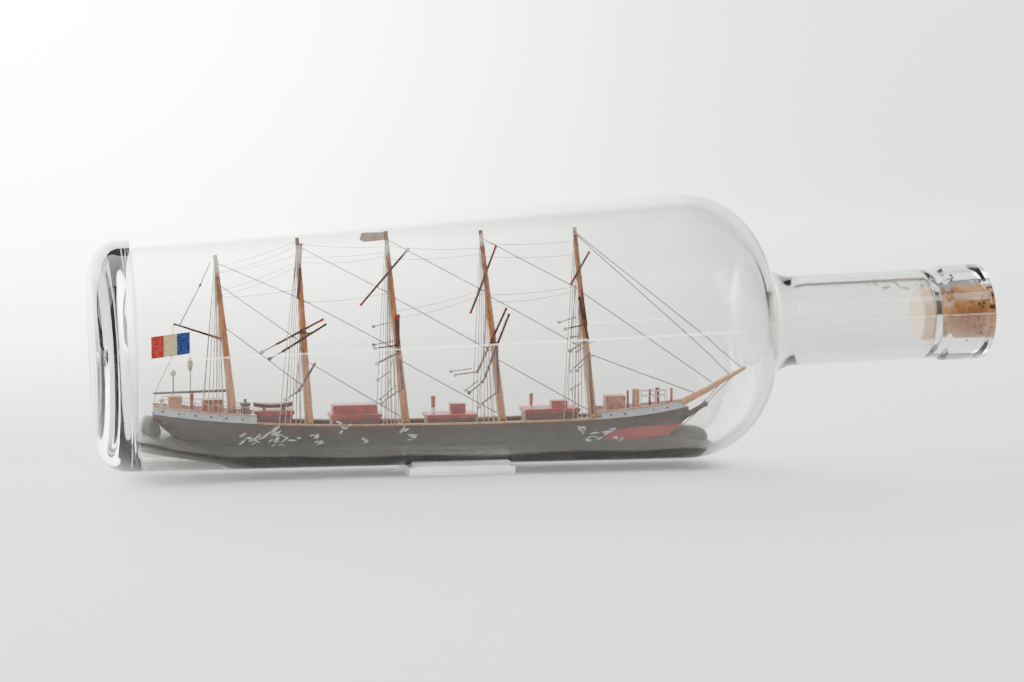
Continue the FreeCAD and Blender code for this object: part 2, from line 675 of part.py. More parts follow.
def make_yards():
    """Yards tied to the near side of their masts. They were never squared, so they lie at odd angles."""
    ties = []
    for (kind, number), yards in YARDS.items():
        mast = MASTS[number]
        sticks = []
        places = []
        for i, (z, lean, upper, lower, pendants) in enumerate(yards):
            y = -(mast.radius(z) + YARD_RADIUS + YARD_CLEARANCE + i * SECOND_YARD_STEP)
            places.append(Vector(mast.at(z).x, y, z))
            sticks.append(make_yard(places[-1], lean, upper, lower, pendants))
        pieces = [piece for stick in sticks for piece in stick[0]]
        if len(sticks) > 1:
            toward = math.copysign(LASHING_REACH, places[1].z - places[0].z)
            level = (places[0] + sticks[0][1] * toward).z
            ends = [place + stick[1] * ((level - place.z) / stick[1].z) for place, stick in zip(places, sticks)]
            pieces.append(rod(ends[0], ends[1], LASHING_RADIUS))
        reach = Y_AXIS * YARD_RADIUS * 1.4
        bore = rod(places[0] - reach, places[0] + reach, TIE_RADIUS + TIE_GAP)
        nodes["%s_yard_%d" % (kind, number)] = pieces[0].cut(bore).fuse(pieces[1:])
        ties.append(make_tie(mast, places[0]))
        pivot = places[0] + SHIP_SHIFT
        print("hinge %s_yard_%d %.5f %.5f %.5f" % (kind, number, pivot.x, pivot.y, pivot.z))
    nodes["yard_ties"] = Part.makeCompound(ties)


# ---------------------------------------------------------------- rigging
def before(mast, z):
    return mast.at(z) + X_AXIS * (mast.radius(z) - 0.1)


def behind(mast, z):
    return mast.at(z) - X_AXIS * (mast.radius(z) - 0.1)


# The stays that lead aft from each mast: the height on the mast behind it, then the height on the mast itself.
STAYS = {
    1: ((76.2, 59.4), (57.0, 39.3), (35.9, 18.4)),
    2: ((76.2, 58.8), (57.0, 39.0), (35.9, 18.2)),
    3: ((74.2, 58.6), (56.6, 40.2), (36.2, 17.6)),
    4: ((69.2, 57.6), (61.8, 43.0), (47.8, 28.4)),
}

# The shrouds of each mast: how high up the mast they reach, as a part of its length, and how far aft they land.
# Those on the near side are led clear of the yards, and those on the far side all reach well up the mast.
NEAR_SHROUDS = {
    1: ((0.40, 2.0), (0.62, 3.6), (0.62, 5.2), (0.62, 6.8), (0.64, 8.4), (0.78, 11.6)),
    2: ((0.40, 2.4), (0.40, 4.0), (0.73, 4.4), (0.73, 6.0), (0.70, 7.6), (0.61, 10.0)),
    3: ((0.43, 3.2), (0.43, 4.8), (0.79, 3.8), (0.79, 6.0), (0.82, 7.4), (0.43, 8.6)),
    4: ((0.49, 2.2), (0.49, 3.8), (0.52, 5.4), (0.46, 7.2), (0.94, 8.8), (0.94, 10.8)),
    5: ((0.50, 2.2), (0.72, 3.8), (0.80, 5.4), (0.84, 7.2), (0.90, 8.8), (0.95, 10.6)),
}
FAR_SHROUDS = ((0.62, 2.4), (0.70, 3.6), (0.80, 4.8), (0.86, 6.0), (0.90, 7.4), (0.94, 9.0))


def make_rigging():
    stays = []
    for ahead, levels in STAYS.items():
        for z0, z1 in levels:
            stays.append(rod(before(MASTS[ahead + 1], z0), behind(MASTS[ahead], z1), STAY_RADIUS))
    fore = MASTS[1]
    for z0, part in ((77.8, 0.95), (77.2, 0.76), (57.8, 0.5), (37.2, 0.24)):
        stays.append(rod(before(fore, z0), on_bowsprit(part), STAY_RADIUS))
    nodes["forestays"] = Part.makeCompound(stays)
    bobs = [rod(on_bowsprit(part), Vector(43.6, 0, z), STAY_RADIUS) for part, z in ((0.86, 10.4), (0.68, 11.6))]
    nodes["bobstays"] = Part.makeCompound(bobs)
    shrouds = []
    for number, mast in MASTS.items():
        lines = [(-1, line) for line in NEAR_SHROUDS[number]] + [(1, line) for line in FAR_SHROUDS]
        for side, (level, aft) in lines:
            z = mast.foot.z + (mast.top.z - mast.foot.z) * level
            x = mast.foot.x - aft
            rail = sheer(x) + (0 if WELL_AFT < x < WELL_FORE else BAND_HEIGHT) + CAP_HEIGHT
            foot = Vector(x, side * (half_breadth(x) - SHROUD_INSET), rail - SHROUD_RADIUS)
            head = mast.at(z) + Vector(-mast.radius(z) * 0.7, side * mast.radius(z) * 0.5, 0)
            shrouds.append(rod(foot, head, SHROUD_RADIUS))
    nodes["shrouds"] = Part.makeCompound(shrouds)
    braces = []
    runs = ((4, 5, (68.2, 66.6), 76.0), (4, 5, (66.2,), 71.6), (4, 5, (60.4, 59.0), 69.4), (4, 5, (58.2,), 60.6),
            (3, 4, (75.2,), 74.2), (3, 4, (71.0, 69.4), 72.4), (3, 4, (56.0,), 58.6),
            (2, 3, (74.2,), 73.2), (2, 3, (70.0,), 71.2), (2, 3, (52.6, 50.4), 59.4),
            (1, 2, (74.6,), 75.4), (1, 2, (70.4,), 70.8), (1, 2, (57.6, 55.2), 60.2))
    for ahead, astern, starts, end in runs:
        for i, start in enumerate(starts):
            a = before(MASTS[astern], start) + Y_AXIS * BRACE_SIDE
            b = behind(MASTS[ahead], end - 1.3 * i) + Y_AXIS * BRACE_SIDE
            braces.append(slack_thread(a, b, 0.7 + 0.5 * i, BRACE_RADIUS))
    nodes["braces"] = Part.makeCompound(braces)
    halyard = [Vector(-113.0, 0, 69.7), Vector(-116.4, 0, 62.2), Vector(-123.2, 0, 49.2)]
    peak = thread(halyard, 0.25).fuse(ball(halyard[1], 0.55))
    hoist = thread([Vector(-125.1, 0.15, 49.4), Vector(-125.6, 0.15, 45.9)], 0.15)
    fall = thread([Vector(-125.6, 0.15, 39.2), Vector(-130.2, 1.2, 29.6), Vector(-131.6, 2.6, 24.0)], 0.15)
    nodes["flag_halyard"] = Part.makeCompound([peak, hoist, fall])


# ---------------------------------------------------------------- sea
# The underside of the putty lifts off the glass towards the stern: places along the ship and heights.
LIFTED_EDGE = ((-160.0, 14.0), (-146.0, 13.2), (-138.0, 12.2), (-130.0, 10.8), (-122.0, 9.4), (-112.0, 7.6),
               (-103.0, 3.6))


def make_sea():
    """The putty: a swell between the glass and the hull, heaped up at the stern and in a curl under the bow."""
    edges, start, neck = inner_edges(GLUE_GAP)
    closing = flat(neck.x, 0)
    cavity = lay_down(revolved(edges + [line(neck, closing), line(closing, start)]))
    swell = [(-146.0, 14.6), (-138.0, 15.4), (-128.0, 13.0), (-118.0, 11.0), (-106.0, 9.6), (-90.0, 9.4),
             (-70.0, 8.4), (-48.0, 9.0), (-20.0, 8.2), (5.0, 9.0), (25.0, 8.6), (40.0, 9.2), (50.0, 8.6), (57.0, 5.4)]
    curve = Part.BSplineCurve()
    curve.interpolate([Vector(x, 0, z) for x, z in swell])
    low_left = Vector(swell[0][0], 0, SHIP_BASE_Z - 2)
    low_right = Vector(swell[-1][0], 0, SHIP_BASE_Z - 2)
    left = Vector(swell[0][0], 0, swell[0][1])
    right = Vector(swell[-1][0], 0, swell[-1][1])
    wire = Part.Wire([curve.toShape(), line(right, low_right), line(low_right, low_left), line(low_left, left)])
    slab = Part.Face(wire).extrude(Y_AXIS * 60)
    slab.translate(Y_AXIS * -30)
    stern_wave = stretched_ball(Vector(-135.2, 0, 14.4), 5.6, 9.5, 5.6)
    bow_wave = stretched_ball(Vector(47.6, 0, 8.0), 7.4, 8.5, 4.4)
    lift = [Vector(x, 0, z) for x, z in LIFTED_EDGE + ((-100.0, -4.0), (-160.0, -4.0))]
    hollow = Part.Face(Part.makePolygon(lift + lift[:1])).extrude(Y_AXIS * 60)
    hollow.translate(Y_AXIS * -30)
    putty = slab.fuse([stern_wave, bow_wave]).cut(hollow)
    putty.translate(SHIP_SHIFT)
    return putty.common(cavity)


# ---------------------------------------------------------------- build
def main():
    os.makedirs("parts", exist_ok=True)
    nodes["hull"] = make_hull()
    make_decks_and_bulwarks()
    make_houses()
    make_lifeboat()
    make_poop_fittings()
    make_forecastle_fittings()
    make_masts()
    make_spars()
    make_yards()
    make_rigging()
    scribe(("poop_deck", "forecastle_deck"), ("hull",))
    scribe(("poop_cabin", "stern_locker", "binnacle", "ventilator", "capstan", "stern_lamps", "mast_steps"),
           ("poop_deck",))
    scribe(("windlass_house", "cask", "fore_bollards", "forecastle_railing"), ("forecastle_deck",))
    for shape in nodes.values():
        shape.translate(SHIP_SHIFT)
    nodes["sea"] = make_sea().cut(nodes["hull"])
    nodes["bottle"] = make_bottle()
    nodes["cork"] = make_cork()
    nodes["bottle_rest"] = make_rest()
    for name, shape in sorted(nodes.items()):
        shape.exportStep(os.path.join("parts", name + ".step"))
        print(name, len(shape.Solids), "valid" if shape.isValid() else "INVALID", round(shape.Volume, 2))
    print("cork slide axis", COS_T, 0, SIN_T)


main()
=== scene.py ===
"""Dresses and lights the ship in a bottle on top of its CAD frame, and places the camera.

Everything is in metres in the frame of the CAD parts: +X runs from the bottle's base to its mouth,
+Z is up and the surface that the bottle's rest stands on is z = 0.
"""

import logging
import math
from dataclasses import dataclass, field
from enum import Enum
from typing import Any, Dict, List, Optional, Sequence, Tuple

import bpy
import numpy as np
from mathutils import Matrix, Vector


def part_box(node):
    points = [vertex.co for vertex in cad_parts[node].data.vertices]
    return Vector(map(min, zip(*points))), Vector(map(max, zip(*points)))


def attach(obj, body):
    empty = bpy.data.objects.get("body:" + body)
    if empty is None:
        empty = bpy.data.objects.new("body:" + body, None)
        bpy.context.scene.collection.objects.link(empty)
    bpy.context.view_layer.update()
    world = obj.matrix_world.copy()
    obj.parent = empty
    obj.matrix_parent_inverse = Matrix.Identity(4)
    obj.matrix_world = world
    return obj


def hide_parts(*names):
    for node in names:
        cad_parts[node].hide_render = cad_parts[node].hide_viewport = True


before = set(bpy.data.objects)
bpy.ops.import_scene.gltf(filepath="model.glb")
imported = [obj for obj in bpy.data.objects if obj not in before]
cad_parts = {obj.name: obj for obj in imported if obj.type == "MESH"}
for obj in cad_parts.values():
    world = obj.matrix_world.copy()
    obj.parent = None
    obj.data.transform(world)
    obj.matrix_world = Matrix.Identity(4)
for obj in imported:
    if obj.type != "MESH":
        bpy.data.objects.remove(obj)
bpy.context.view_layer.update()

LOG = logging.getLogger("ship_in_a_bottle")
MM = 0.001
PAINT_EDGE = 0.0002
PRINT_EDGE = 0.0001
SHIP_BODY = "bottle_and_ship"
Colour = Tuple[float, float, float]
Point = Tuple[float, float, float]
Profile = List[Tuple[float, float]]
Shape = Tuple[np.ndarray, List[List[int]]]


def srgb(red: float, green: float, blue: float) -> Colour:
    """Turns a colour given in 0 to 255 display values into scene-linear values."""
    values = []
    for v in (red, green, blue):
        c = v / 255.0
        values.append(c / 12.92 if c <= 0.04045 else ((c + 0.055) / 1.055) ** 2.4)
    return values[0], values[1], values[2]


# --------------------------------------------------------------------------- shader building
class Graph:
    """A thin layer over a node tree that adds nodes and joins them in one call each."""

    def __init__(self, tree: Any) -> None:
        """Takes over an empty node tree.

        Args:
            tree: the node tree of a material.
        """
        self.tree = tree
        self.object_coords: Optional[Any] = None

    def node(self, kind: str, **settings: Any) -> Any:
        """Adds one node and sets its properties.

        Args:
            kind: the node's type name without "ShaderNode".
            settings: properties of the node.

        Returns:
            The new node.
        """
        made = self.tree.nodes.new("ShaderNode" + kind)
        for key, value in settings.items():
            setattr(made, key, value)
        return made

    def put(self, socket: Any, value: Any) -> None:
        """Sets a socket to a number or colour, or links it to another node's output."""
        if hasattr(value, "is_output"):
            self.tree.links.new(value, socket)
        elif isinstance(value, tuple) and len(value) == 3 and socket.type == "RGBA":
            socket.default_value = (*value, 1.0)
        else:
            socket.default_value = value

    def coords(self) -> Any:
        """The object coordinates, in metres."""
        if self.object_coords is None:
            self.object_coords = self.node("TexCoord").outputs["Object"]
        return self.object_coords

    def stretched(self, scale: Point) -> Any:
        """The object coordinates multiplied axis by axis."""
        mapping = self.node("Mapping")
        self.put(mapping.inputs["Vector"], self.coords())
        mapping.inputs["Scale"].default_value = scale
        return mapping.outputs["Vector"]

    def axis(self, name: str) -> Any:
        """One object coordinate, in metres, as a number."""
        split = self.node("SeparateXYZ")
        self.put(split.inputs[0], self.coords())
        return split.outputs[name]

    def noise(self, scale: float, detail: float = 3.0, roughness: float = 0.55, vector: Any = None) -> Any:
        """A noise between 0 and 1 with that many waves to the metre."""
        made = self.node("TexNoise")
        self.put(made.inputs["Vector"], self.coords() if vector is None else vector)
        made.inputs["Scale"].default_value = scale
        made.inputs["Detail"].default_value = detail
        made.inputs["Roughness"].default_value = roughness
        return made.outputs["Fac"]

    def specks(self, cells: float, size: float, vector: Any = None) -> Any:
        """Round dots scattered one to a cell: 1 in a dot and 0 outside.

        Args:
            cells: cells to the metre.
            size: the dot's radius as a part of the cell.
            vector: coordinates to use in place of the object's.

        Returns:
            The dots as a number.
        """
        cell = self.node("TexVoronoi", feature="F1")
        self.put(cell.inputs["Vector"], self.coords() if vector is None else vector)
        cell.inputs["Scale"].default_value = cells
        return self.ramp(cell.outputs["Distance"], size, size * 0.7)

    def maths(self, operation: str, a: Any, b: Any = 0.0, clamp: bool = False) -> Any:
        """One arithmetic step on numbers."""
        made = self.node("Math", operation=operation, use_clamp=clamp)
        self.put(made.inputs[0], a)
        self.put(made.inputs[1], b)
        return made.outputs[0]

    def times(self, a: Any, b: Any) -> Any:
        """The product of two numbers."""
        return self.maths("MULTIPLY", a, b)

    def plus(self, a: Any, b: Any) -> Any:
        """The sum of two numbers."""
        return self.maths("ADD", a, b)

    def patches(
        self, low: float, high: float, scale: float, detail: float = 3.0, roughness: float = 0.55,
    ) -> Any:
        """Soft-edged patches: a noise that is 0 up to low and 1 from high."""
        return self.ramp(self.noise(scale, detail, roughness), low, high)

    def ramp(self, value: Any, low: float, high: float) -> Any:
        """A number that is 0 at low, 1 at high and smooth between; low may be above high."""
        made = self.node("MapRange", interpolation_type="SMOOTHSTEP")
        self.put(made.inputs["Value"], value)
        flip = low > high
        made.inputs["From Min"].default_value = min(low, high)
        made.inputs["From Max"].default_value = max(low, high)
        made.inputs["To Min"].default_value = 1.0 if flip else 0.0
        made.inputs["To Max"].default_value = 0.0 if flip else 1.0
        return made.outputs["Result"]

    def between(self, axis: str, low: float, high: float, edge: float) -> Any:
        """1 where an object coordinate lies between two values, with soft edges."""
        value = self.axis(axis)
        rise = self.ramp(value, low - edge, low + edge)
        fall = self.ramp(value, high + edge, high - edge)
        return self.maths("MULTIPLY", rise, fall)

    def mix(self, factor: Any, a: Any, b: Any) -> Any:
        """A colour that goes from a to b with factor."""
        made = self.node("Mix", data_type="RGBA", blend_type="MIX")
        self.put(made.inputs[0], factor)
        self.put(made.inputs[6], a)
        self.put(made.inputs[7], b)
        return made.outputs[2]

    def bump(self, height: Any, strength: float, distance: float) -> Any:
        """A bumped normal for a height that runs from 0 to 1."""
        made = self.node("Bump")
        self.put(made.inputs["Height"], height)
        made.inputs["Strength"].default_value = strength
        made.inputs["Distance"].default_value = distance
        return made.outputs["Normal"]

    def principled(self, colour: Any, roughness: Any, normal: Any = None, specular: float = 0.4) -> Any:
        """A Principled shader and its output.

        Args:
            colour: base colour or a link.
            roughness: a number or a link.
            normal: a bumped normal, or None.
            specular: the specular level.

        Returns:
            The shader's output socket.
        """
        made = self.node("BsdfPrincipled")
        self.put(made.inputs["Base Color"], colour)
        self.put(made.inputs["Roughness"], roughness)
        made.inputs["Specular IOR Level"].default_value = specular
        if normal is not None:
            self.put(made.inputs["Normal"], normal)
        return made.outputs["BSDF"]

    def mix_shader(self, factor: Any, a: Any, b: Any) -> Any:
        """A shader that goes from a to b with factor."""
        made = self.node("MixShader")
        self.put(made.inputs[0], factor)
        self.put(made.inputs[1], a)
        self.put(made.inputs[2], b)
        return made.outputs[0]

    def finish(self, surface: Any) -> None:
        """Joins a shader to the material's output."""
        output = self.node("OutputMaterial")
        self.put(output.inputs["Surface"], surface)


@dataclass(frozen=True)
class Finish:
    """A named surface finish that makes its material the first time it is asked for."""

    name: str

    def shade(self, graph: Graph) -> Any:
        """Builds the finish in a node graph and returns the surface socket."""
        raise NotImplementedError

    def material(self) -> bpy.types.Material:
        """Returns the material, and makes it if this is the first call."""
        found = bpy.data.materials.get("finish_" + self.name)
        if found is not None:
            return found
        made = bpy.data.materials.new("finish_" + self.name)
        made.use_nodes = True
        made.node_tree.nodes.clear()
        graph = Graph(made.node_tree)
        graph.finish(self.shade(graph))
        return made


@dataclass(frozen=True)
class Dusted(Finish):
    """A painted or bare solid colour that varies with a soft noise and carries pale dust and dark flecks."""

    colour: Colour = (0.5, 0.5, 0.5)
    other: Colour = (0.4, 0.4, 0.4)
    patch: float = 260.0
    roughness: float = 0.6
    dust: float = 0.0
    dust_colour: Colour = srgb(214, 208, 200)
    dust_cells: float = 1500.0
    fleck: float = 0.0
    fleck_colour: Colour = srgb(52, 34, 28)
    bump: float = 0.2
    grain: Point = (1.0, 1.0, 1.0)

    def colour_socket(self, graph: Graph) -> Any:
        """The base colour before any dust."""
        blend = graph.ramp(graph.noise(self.patch, 4.0, 0.6, graph.stretched(self.grain)), 0.36, 0.64)
        return graph.mix(blend, self.colour, self.other)

    def shade(self, graph: Graph) -> Any:
        """Layers flecks and dust over the base colour."""
        colour = self.colour_socket(graph)
        if self.fleck:
            mask = graph.patches(0.60, 0.68, 900.0, 2.0)
            colour = graph.mix(graph.times(mask, self.fleck), colour, self.fleck_colour)
        if self.dust:
            dots = graph.specks(self.dust_cells, 0.20)
            where = graph.patches(0.64 - 0.2 * self.dust, 0.80 - 0.2 * self.dust, 420.0, 3.0)
            colour = graph.mix(graph.times(dots, where), colour, self.dust_colour)
        normal = graph.bump(graph.noise(700.0, 4.0), self.bump, 0.0004)
        return graph.principled(colour, self.roughness, normal)


@dataclass(frozen=True)
class MastWood(Dusted):
    """Varnished spar wood that is warm at the foot and greyer and darker towards the head."""

    head_colour: Colour = srgb(120, 84, 66)

    def colour_socket(self, graph: Graph) -> Any:
        """Mixes the warm wood with the darker head by height, with stripes along the grain."""
        base = super().colour_socket(graph)
        height = graph.ramp(graph.axis("Z"), 0.045, 0.078)
        aged = graph.times(height, graph.patches(0.3, 0.6, 240.0))
        return graph.mix(aged, base, self.head_colour)


@dataclass(frozen=True)
class TwoTone(Dusted):
    """A painted piece whose lower part, up to a level, is another colour."""

    level: float = 0.0
    low_colour: Colour = (0.8, 0.8, 0.8)

    def colour_socket(self, graph: Graph) -> Any:
        """Lays the lower colour under the level."""
        base = super().colour_socket(graph)
        below = graph.ramp(graph.axis("Z"), self.level + PAINT_EDGE, self.level - PAINT_EDGE)
        return graph.mix(below, base, self.low_colour)


@dataclass(frozen=True)
class HullPaint(Dusted):
    """Red-brown topsides, brown-grey at the water, with red below the waterline at the bow."""

    red: Colour = srgb(176, 44, 42)
    water: Colour = srgb(56, 46, 41)

    def colour_socket(self, graph: Graph) -> Any:
        """Lays the grey foot and the red boot topping over the brown."""
        base = super().colour_socket(graph)
        edge = graph.plus(graph.axis("Z"), graph.times(graph.noise(150.0, 4.0), 0.003))
        base = graph.mix(graph.ramp(edge, 0.0162, 0.0128), base, self.water)
        wave = graph.times(graph.noise(90.0, 2.0), 0.004)
        height = graph.plus(graph.axis("Z"), wave)
        slope = graph.times(graph.axis("X"), -0.045)
        low = graph.ramp(graph.plus(height, slope), 0.0134, 0.0128)
        fore = graph.ramp(graph.axis("X"), 0.015, 0.020)
        return graph.mix(graph.times(low, fore), base, self.red)


@dataclass(frozen=True)
class YardPaint(Dusted):
    """A brown yard whose ends are dipped in red, with a pale bead at the end of each thread pendant."""

    low: Point = (0.0, 0.0, 0.0)
    high: Point = (0.0, 0.0, 0.0)
    beaded: bool = False
    tip: Colour = srgb(150, 44, 40)
    bead: Colour = srgb(186, 186, 190)

    def colour_socket(self, graph: Graph) -> Any:
        """Paints the yard by the height and length of its own box."""
        base = super().colour_socket(graph)
        top = graph.ramp(graph.axis("Z"), self.high[2] - 0.0020, self.high[2] - 0.0016)
        bottom = graph.ramp(graph.axis("Z"), self.low[2] + 0.0020, self.low[2] + 0.0016)
        if not self.beaded:
            return graph.mix(graph.maths("ADD", top, bottom, True), base, self.tip)
        aft = graph.ramp(graph.axis("X"), self.low[0] + 0.0019, self.low[0] + 0.0016)
        return graph.mix(aft, graph.mix(top, base, self.tip), self.bead)


@dataclass(frozen=True)
class FlagPaper(Finish):
    """Three upright bands, red, cream and blue, printed with worn ink on stiff paper."""

    low: float = 0.0
    high: float = 1.0

    def shade(self, graph: Graph) -> Any:
        """Splits the paper in thirds along X and wears the print."""
        third = (self.high - self.low) / 3.0
        x = graph.axis("X")
        first = graph.ramp(x, self.low + third - PRINT_EDGE, self.low + third + PRINT_EDGE)
        second = graph.ramp(x, self.low + 2 * third - PRINT_EDGE, self.low + 2 * third + PRINT_EDGE)
        red = graph.mix(graph.patches(0.45, 0.6, 1500.0, 2.0), srgb(188, 36, 34), srgb(204, 92, 82))
        blue = graph.mix(graph.patches(0.4, 0.65, 1200.0, 2.0), srgb(24, 56, 124), srgb(62, 92, 150))
        worn = graph.patches(0.4, 0.6, 500.0, 2.0)
        cream = graph.mix(worn, srgb(222, 196, 142), srgb(230, 210, 168))
        colour = graph.mix(second, graph.mix(first, red, cream), blue)
        return graph.principled(colour, 0.7, graph.bump(graph.noise(900.0), 0.2, 0.0002), 0.2)


@dataclass(frozen=True)
class PuttySea(Finish):
    """Dark grey-brown putty with pale flecks, with painted light and shade: a smooth pale grey painted
    reflection on its low stern end, and near-black painted shade along its lowest part where it meets the
    glass.
    """

    def shade(self, graph: Graph) -> Any:
        """Mixes the dark top, the near-black painted shade along the bottom, the smooth pale painted
        reflection on the low stern end and the white flecks.
        """
        dark = graph.mix(graph.patches(0.35, 0.65, 160.0, 4.0), srgb(38, 32, 29), srgb(58, 50, 45))
        # Painted shade: the putty's lowest part, where it meets the glass at the bottom, is darkened to near
        # black.
        painted_contact_shade = graph.ramp(graph.axis("Z"), 0.0062, 0.0050)
        dark = graph.mix(painted_contact_shade, dark, srgb(24, 22, 22))
        # Painted reflection: the next lines lay a smooth pale grey on the putty's low stern end, below a
        # sloping line. It stands in for a reflection in the glass, and no flecks go on it.
        pale = graph.mix(graph.patches(0.3, 0.7, 60.0, 2.0), srgb(118, 113, 110), srgb(146, 142, 139))
        slope = graph.plus(graph.axis("Z"), graph.times(graph.axis("X"), 0.22))
        painted_reflection_band = graph.ramp(slope, -0.0158, -0.0176)
        aft = graph.ramp(graph.axis("X"), -0.100, -0.104)
        under = graph.times(painted_reflection_band, aft)
        colour = graph.mix(under, dark, pale)
        dots = graph.specks(1800.0, 0.24)
        where = graph.patches(0.48, 0.66, 300.0, 3.0)
        fleck = graph.times(graph.times(dots, where), graph.ramp(under, 0.6, 0.2))
        colour = graph.mix(fleck, colour, srgb(196, 193, 190))
        normal = graph.bump(graph.noise(330.0, 5.0, 0.65), 0.7, 0.0012)
        return graph.principled(colour, 0.5, normal)


@dataclass(frozen=True)
class ClearGlass(Finish):
    """Bottle glass with fine dust, a few stuck flecks of old wrapping and dirt round the mouth."""

    tint: Colour = (0.885, 0.885, 0.87)
    shadow: Colour = (0.90, 0.91, 0.91)
    dust: float = 0.05
    neck: Optional[Tuple[float, float]] = None
    mouth: Optional[Tuple[float, float]] = None

    def stuck(self, graph: Graph) -> List[Tuple[Any, Colour]]:
        """The masks and colours of what is stuck to the outside.

        Args:
            graph: the graph of the material.

        Returns:
            Pairs of a mask and a colour.
        """
        found: List[Tuple[Any, Colour]] = []
        if self.neck:
            band = graph.between("X", self.neck[0], self.neck[1], 0.001)
            front = graph.ramp(graph.axis("Y"), -0.006, -0.008)
            level = graph.between("Z", 0.0585, 0.0622, 0.0008)
            crumbs = graph.patches(0.53, 0.56, 420.0, 4.0, 0.7)
            area = graph.times(graph.times(band, front), level)
            found.append((graph.times(area, crumbs), srgb(150, 132, 96)))
        if self.mouth:
            band = graph.between("X", self.mouth[0], self.mouth[1], 0.0012)
            patches = graph.patches(0.52, 0.60, 110.0)
            dots = graph.times(graph.specks(520.0, 0.34), patches)
            found.append((graph.times(band, dots), srgb(46, 40, 34)))
        return found

    def shade(self, graph: Graph) -> Any:
        """Glass that lets shadow rays pass, mixed with a thin scatter of dust."""
        glass = graph.node("BsdfGlass")
        graph.put(glass.inputs["Color"], self.tint)
        glass.inputs["IOR"].default_value = 1.5
        glass.inputs["Roughness"].default_value = 0.0
        surface = glass.outputs[0]
        if self.dust:
            patches = graph.patches(0.5, 0.75, 90.0, 4.0)
            dots = graph.times(graph.specks(700.0, 0.20), patches)
            film = graph.times(graph.patches(0.45, 0.75, 35.0, 5.0), 0.012)
            powder = graph.node("BsdfDiffuse")
            graph.put(powder.inputs["Color"], srgb(214, 214, 212))
            amount = graph.plus(graph.times(dots, self.dust * 4.0), film)
            surface = graph.mix_shader(graph.times(amount, 0.5), surface, powder.outputs[0])
        for mask, colour in self.stuck(graph):
            surface = graph.mix_shader(mask, surface, graph.principled(colour, 0.8))
        clear = graph.node("BsdfTransparent")
        graph.put(clear.inputs["Color"], self.shadow)
        path = graph.node("LightPath")
        return graph.mix_shader(path.outputs["Is Shadow Ray"], surface, clear.outputs[0])


@dataclass(frozen=True)
class Acrylic(Finish):
    """Clear cast plastic with a milky haze and scuffed faces."""

    haze: float = 0.42

    def shade(self, graph: Graph) -> Any:
        """Mixes glass with a white scatter and lets shadow rays pass."""
        glass = graph.node("BsdfGlass")
        graph.put(glass.inputs["Color"], srgb(250, 251, 251))
        glass.inputs["IOR"].default_value = 1.49
        glass.inputs["Roughness"].default_value = 0.12
        white = graph.mix(graph.noise(120.0, 4.0), srgb(246, 246, 246), srgb(228, 229, 231))
        scatter = graph.principled(white, 0.45, graph.bump(graph.noise(300.0, 3.0), 0.1, 0.0004), 0.5)
        scuffs = graph.times(graph.noise(180.0, 4.0), 0.25)
        surface = graph.mix_shader(graph.plus(scuffs, self.haze), glass.outputs[0], scatter)
        clear = graph.node("BsdfTransparent")
        graph.put(clear.inputs["Color"], srgb(236, 237, 238))
        path = graph.node("LightPath")
        return graph.mix_shader(path.outputs["Is Shadow Ray"], surface, clear.outputs[0])


@dataclass(frozen=True)
class Cork(Finish):
    """Natural cork, mottled orange-brown where it is pressed on the glass, paler at its inner end."""

    inner: float = 0.0

    def shade(self, graph: Graph) -> Any:
        """Mixes two browns with pores and a pale end."""
        mottle = graph.patches(0.38, 0.62, 150.0, 5.0, 0.65)
        colour = graph.mix(mottle, srgb(196, 140, 88), srgb(140, 88, 48))
        stain = graph.patches(0.55, 0.68, 70.0, 3.0)
        colour = graph.mix(graph.times(stain, 0.6), colour, srgb(104, 62, 34))
        pale = graph.ramp(graph.axis("X"), self.inner + 0.0050, self.inner + 0.0036)
        colour = graph.mix(pale, colour, srgb(226, 196, 166))
        pores = graph.times(graph.specks(650.0, 0.30), graph.patches(0.5, 0.6, 200.0))
        colour = graph.mix(graph.times(pores, 0.7), colour, srgb(76, 48, 30))
        return graph.principled(colour, 0.75, graph.bump(graph.noise(500.0, 4.0), 0.4, 0.0005))


# --------------------------------------------------------------------------- palette
SPAR = MastWood("spar_wood", srgb(206, 142, 92), srgb(176, 112, 66), 300.0, 0.5, 0.35, fleck=0.5,
                grain=(3.0, 3.0, 0.6))
YARD_WOOD = (srgb(96, 52, 38), srgb(70, 40, 32))
DARK_THREAD = Dusted("dark_thread", srgb(112, 92, 78), srgb(84, 68, 58), 900.0, 0.8)
PALE_THREAD = Dusted("pale_thread", srgb(176, 154, 132), srgb(146, 126, 108), 900.0, 0.8)
HULL = HullPaint("hull_paint", srgb(74, 36, 28), srgb(54, 32, 27), 240.0, 0.6, 0.7, dust_cells=2400.0)
DECK = Dusted("deck_wood", srgb(140, 88, 60), srgb(106, 68, 50), 320.0, 0.7, 0.4)
LIGHT_WOOD = Dusted("light_wood", srgb(196, 140, 98), srgb(164, 106, 70), 420.0, 0.6, 0.3, fleck=0.5)
DARK_WOOD = Dusted("dark_wood", srgb(96, 62, 48), srgb(72, 48, 40), 420.0, 0.6, 0.4)
BAND = Dusted("band_paint", srgb(198, 203, 206), srgb(176, 184, 188), 360.0, 0.6, 0.2, fleck=0.35)
HOUSE = Dusted("house_paint", srgb(108, 40, 29), srgb(82, 36, 28), 300.0, 0.6, 0.5, dust_cells=2400.0)
ROOF = Dusted(
    "roof_paint", srgb(158, 32, 22), srgb(122, 32, 24), 300.0, 0.5, 0.5, fleck=0.4, dust_cells=2200.0)
BOAT = Dusted("boat_paint", srgb(196, 186, 172), srgb(170, 156, 142), 400.0, 0.6, 0.3)
PIN = Dusted("pin_wire", srgb(150, 120, 70), srgb(120, 96, 58), 500.0, 0.4)
PENNANT = Dusted("pennant_paper", srgb(196, 168, 148), srgb(172, 142, 122), 400.0, 0.7)
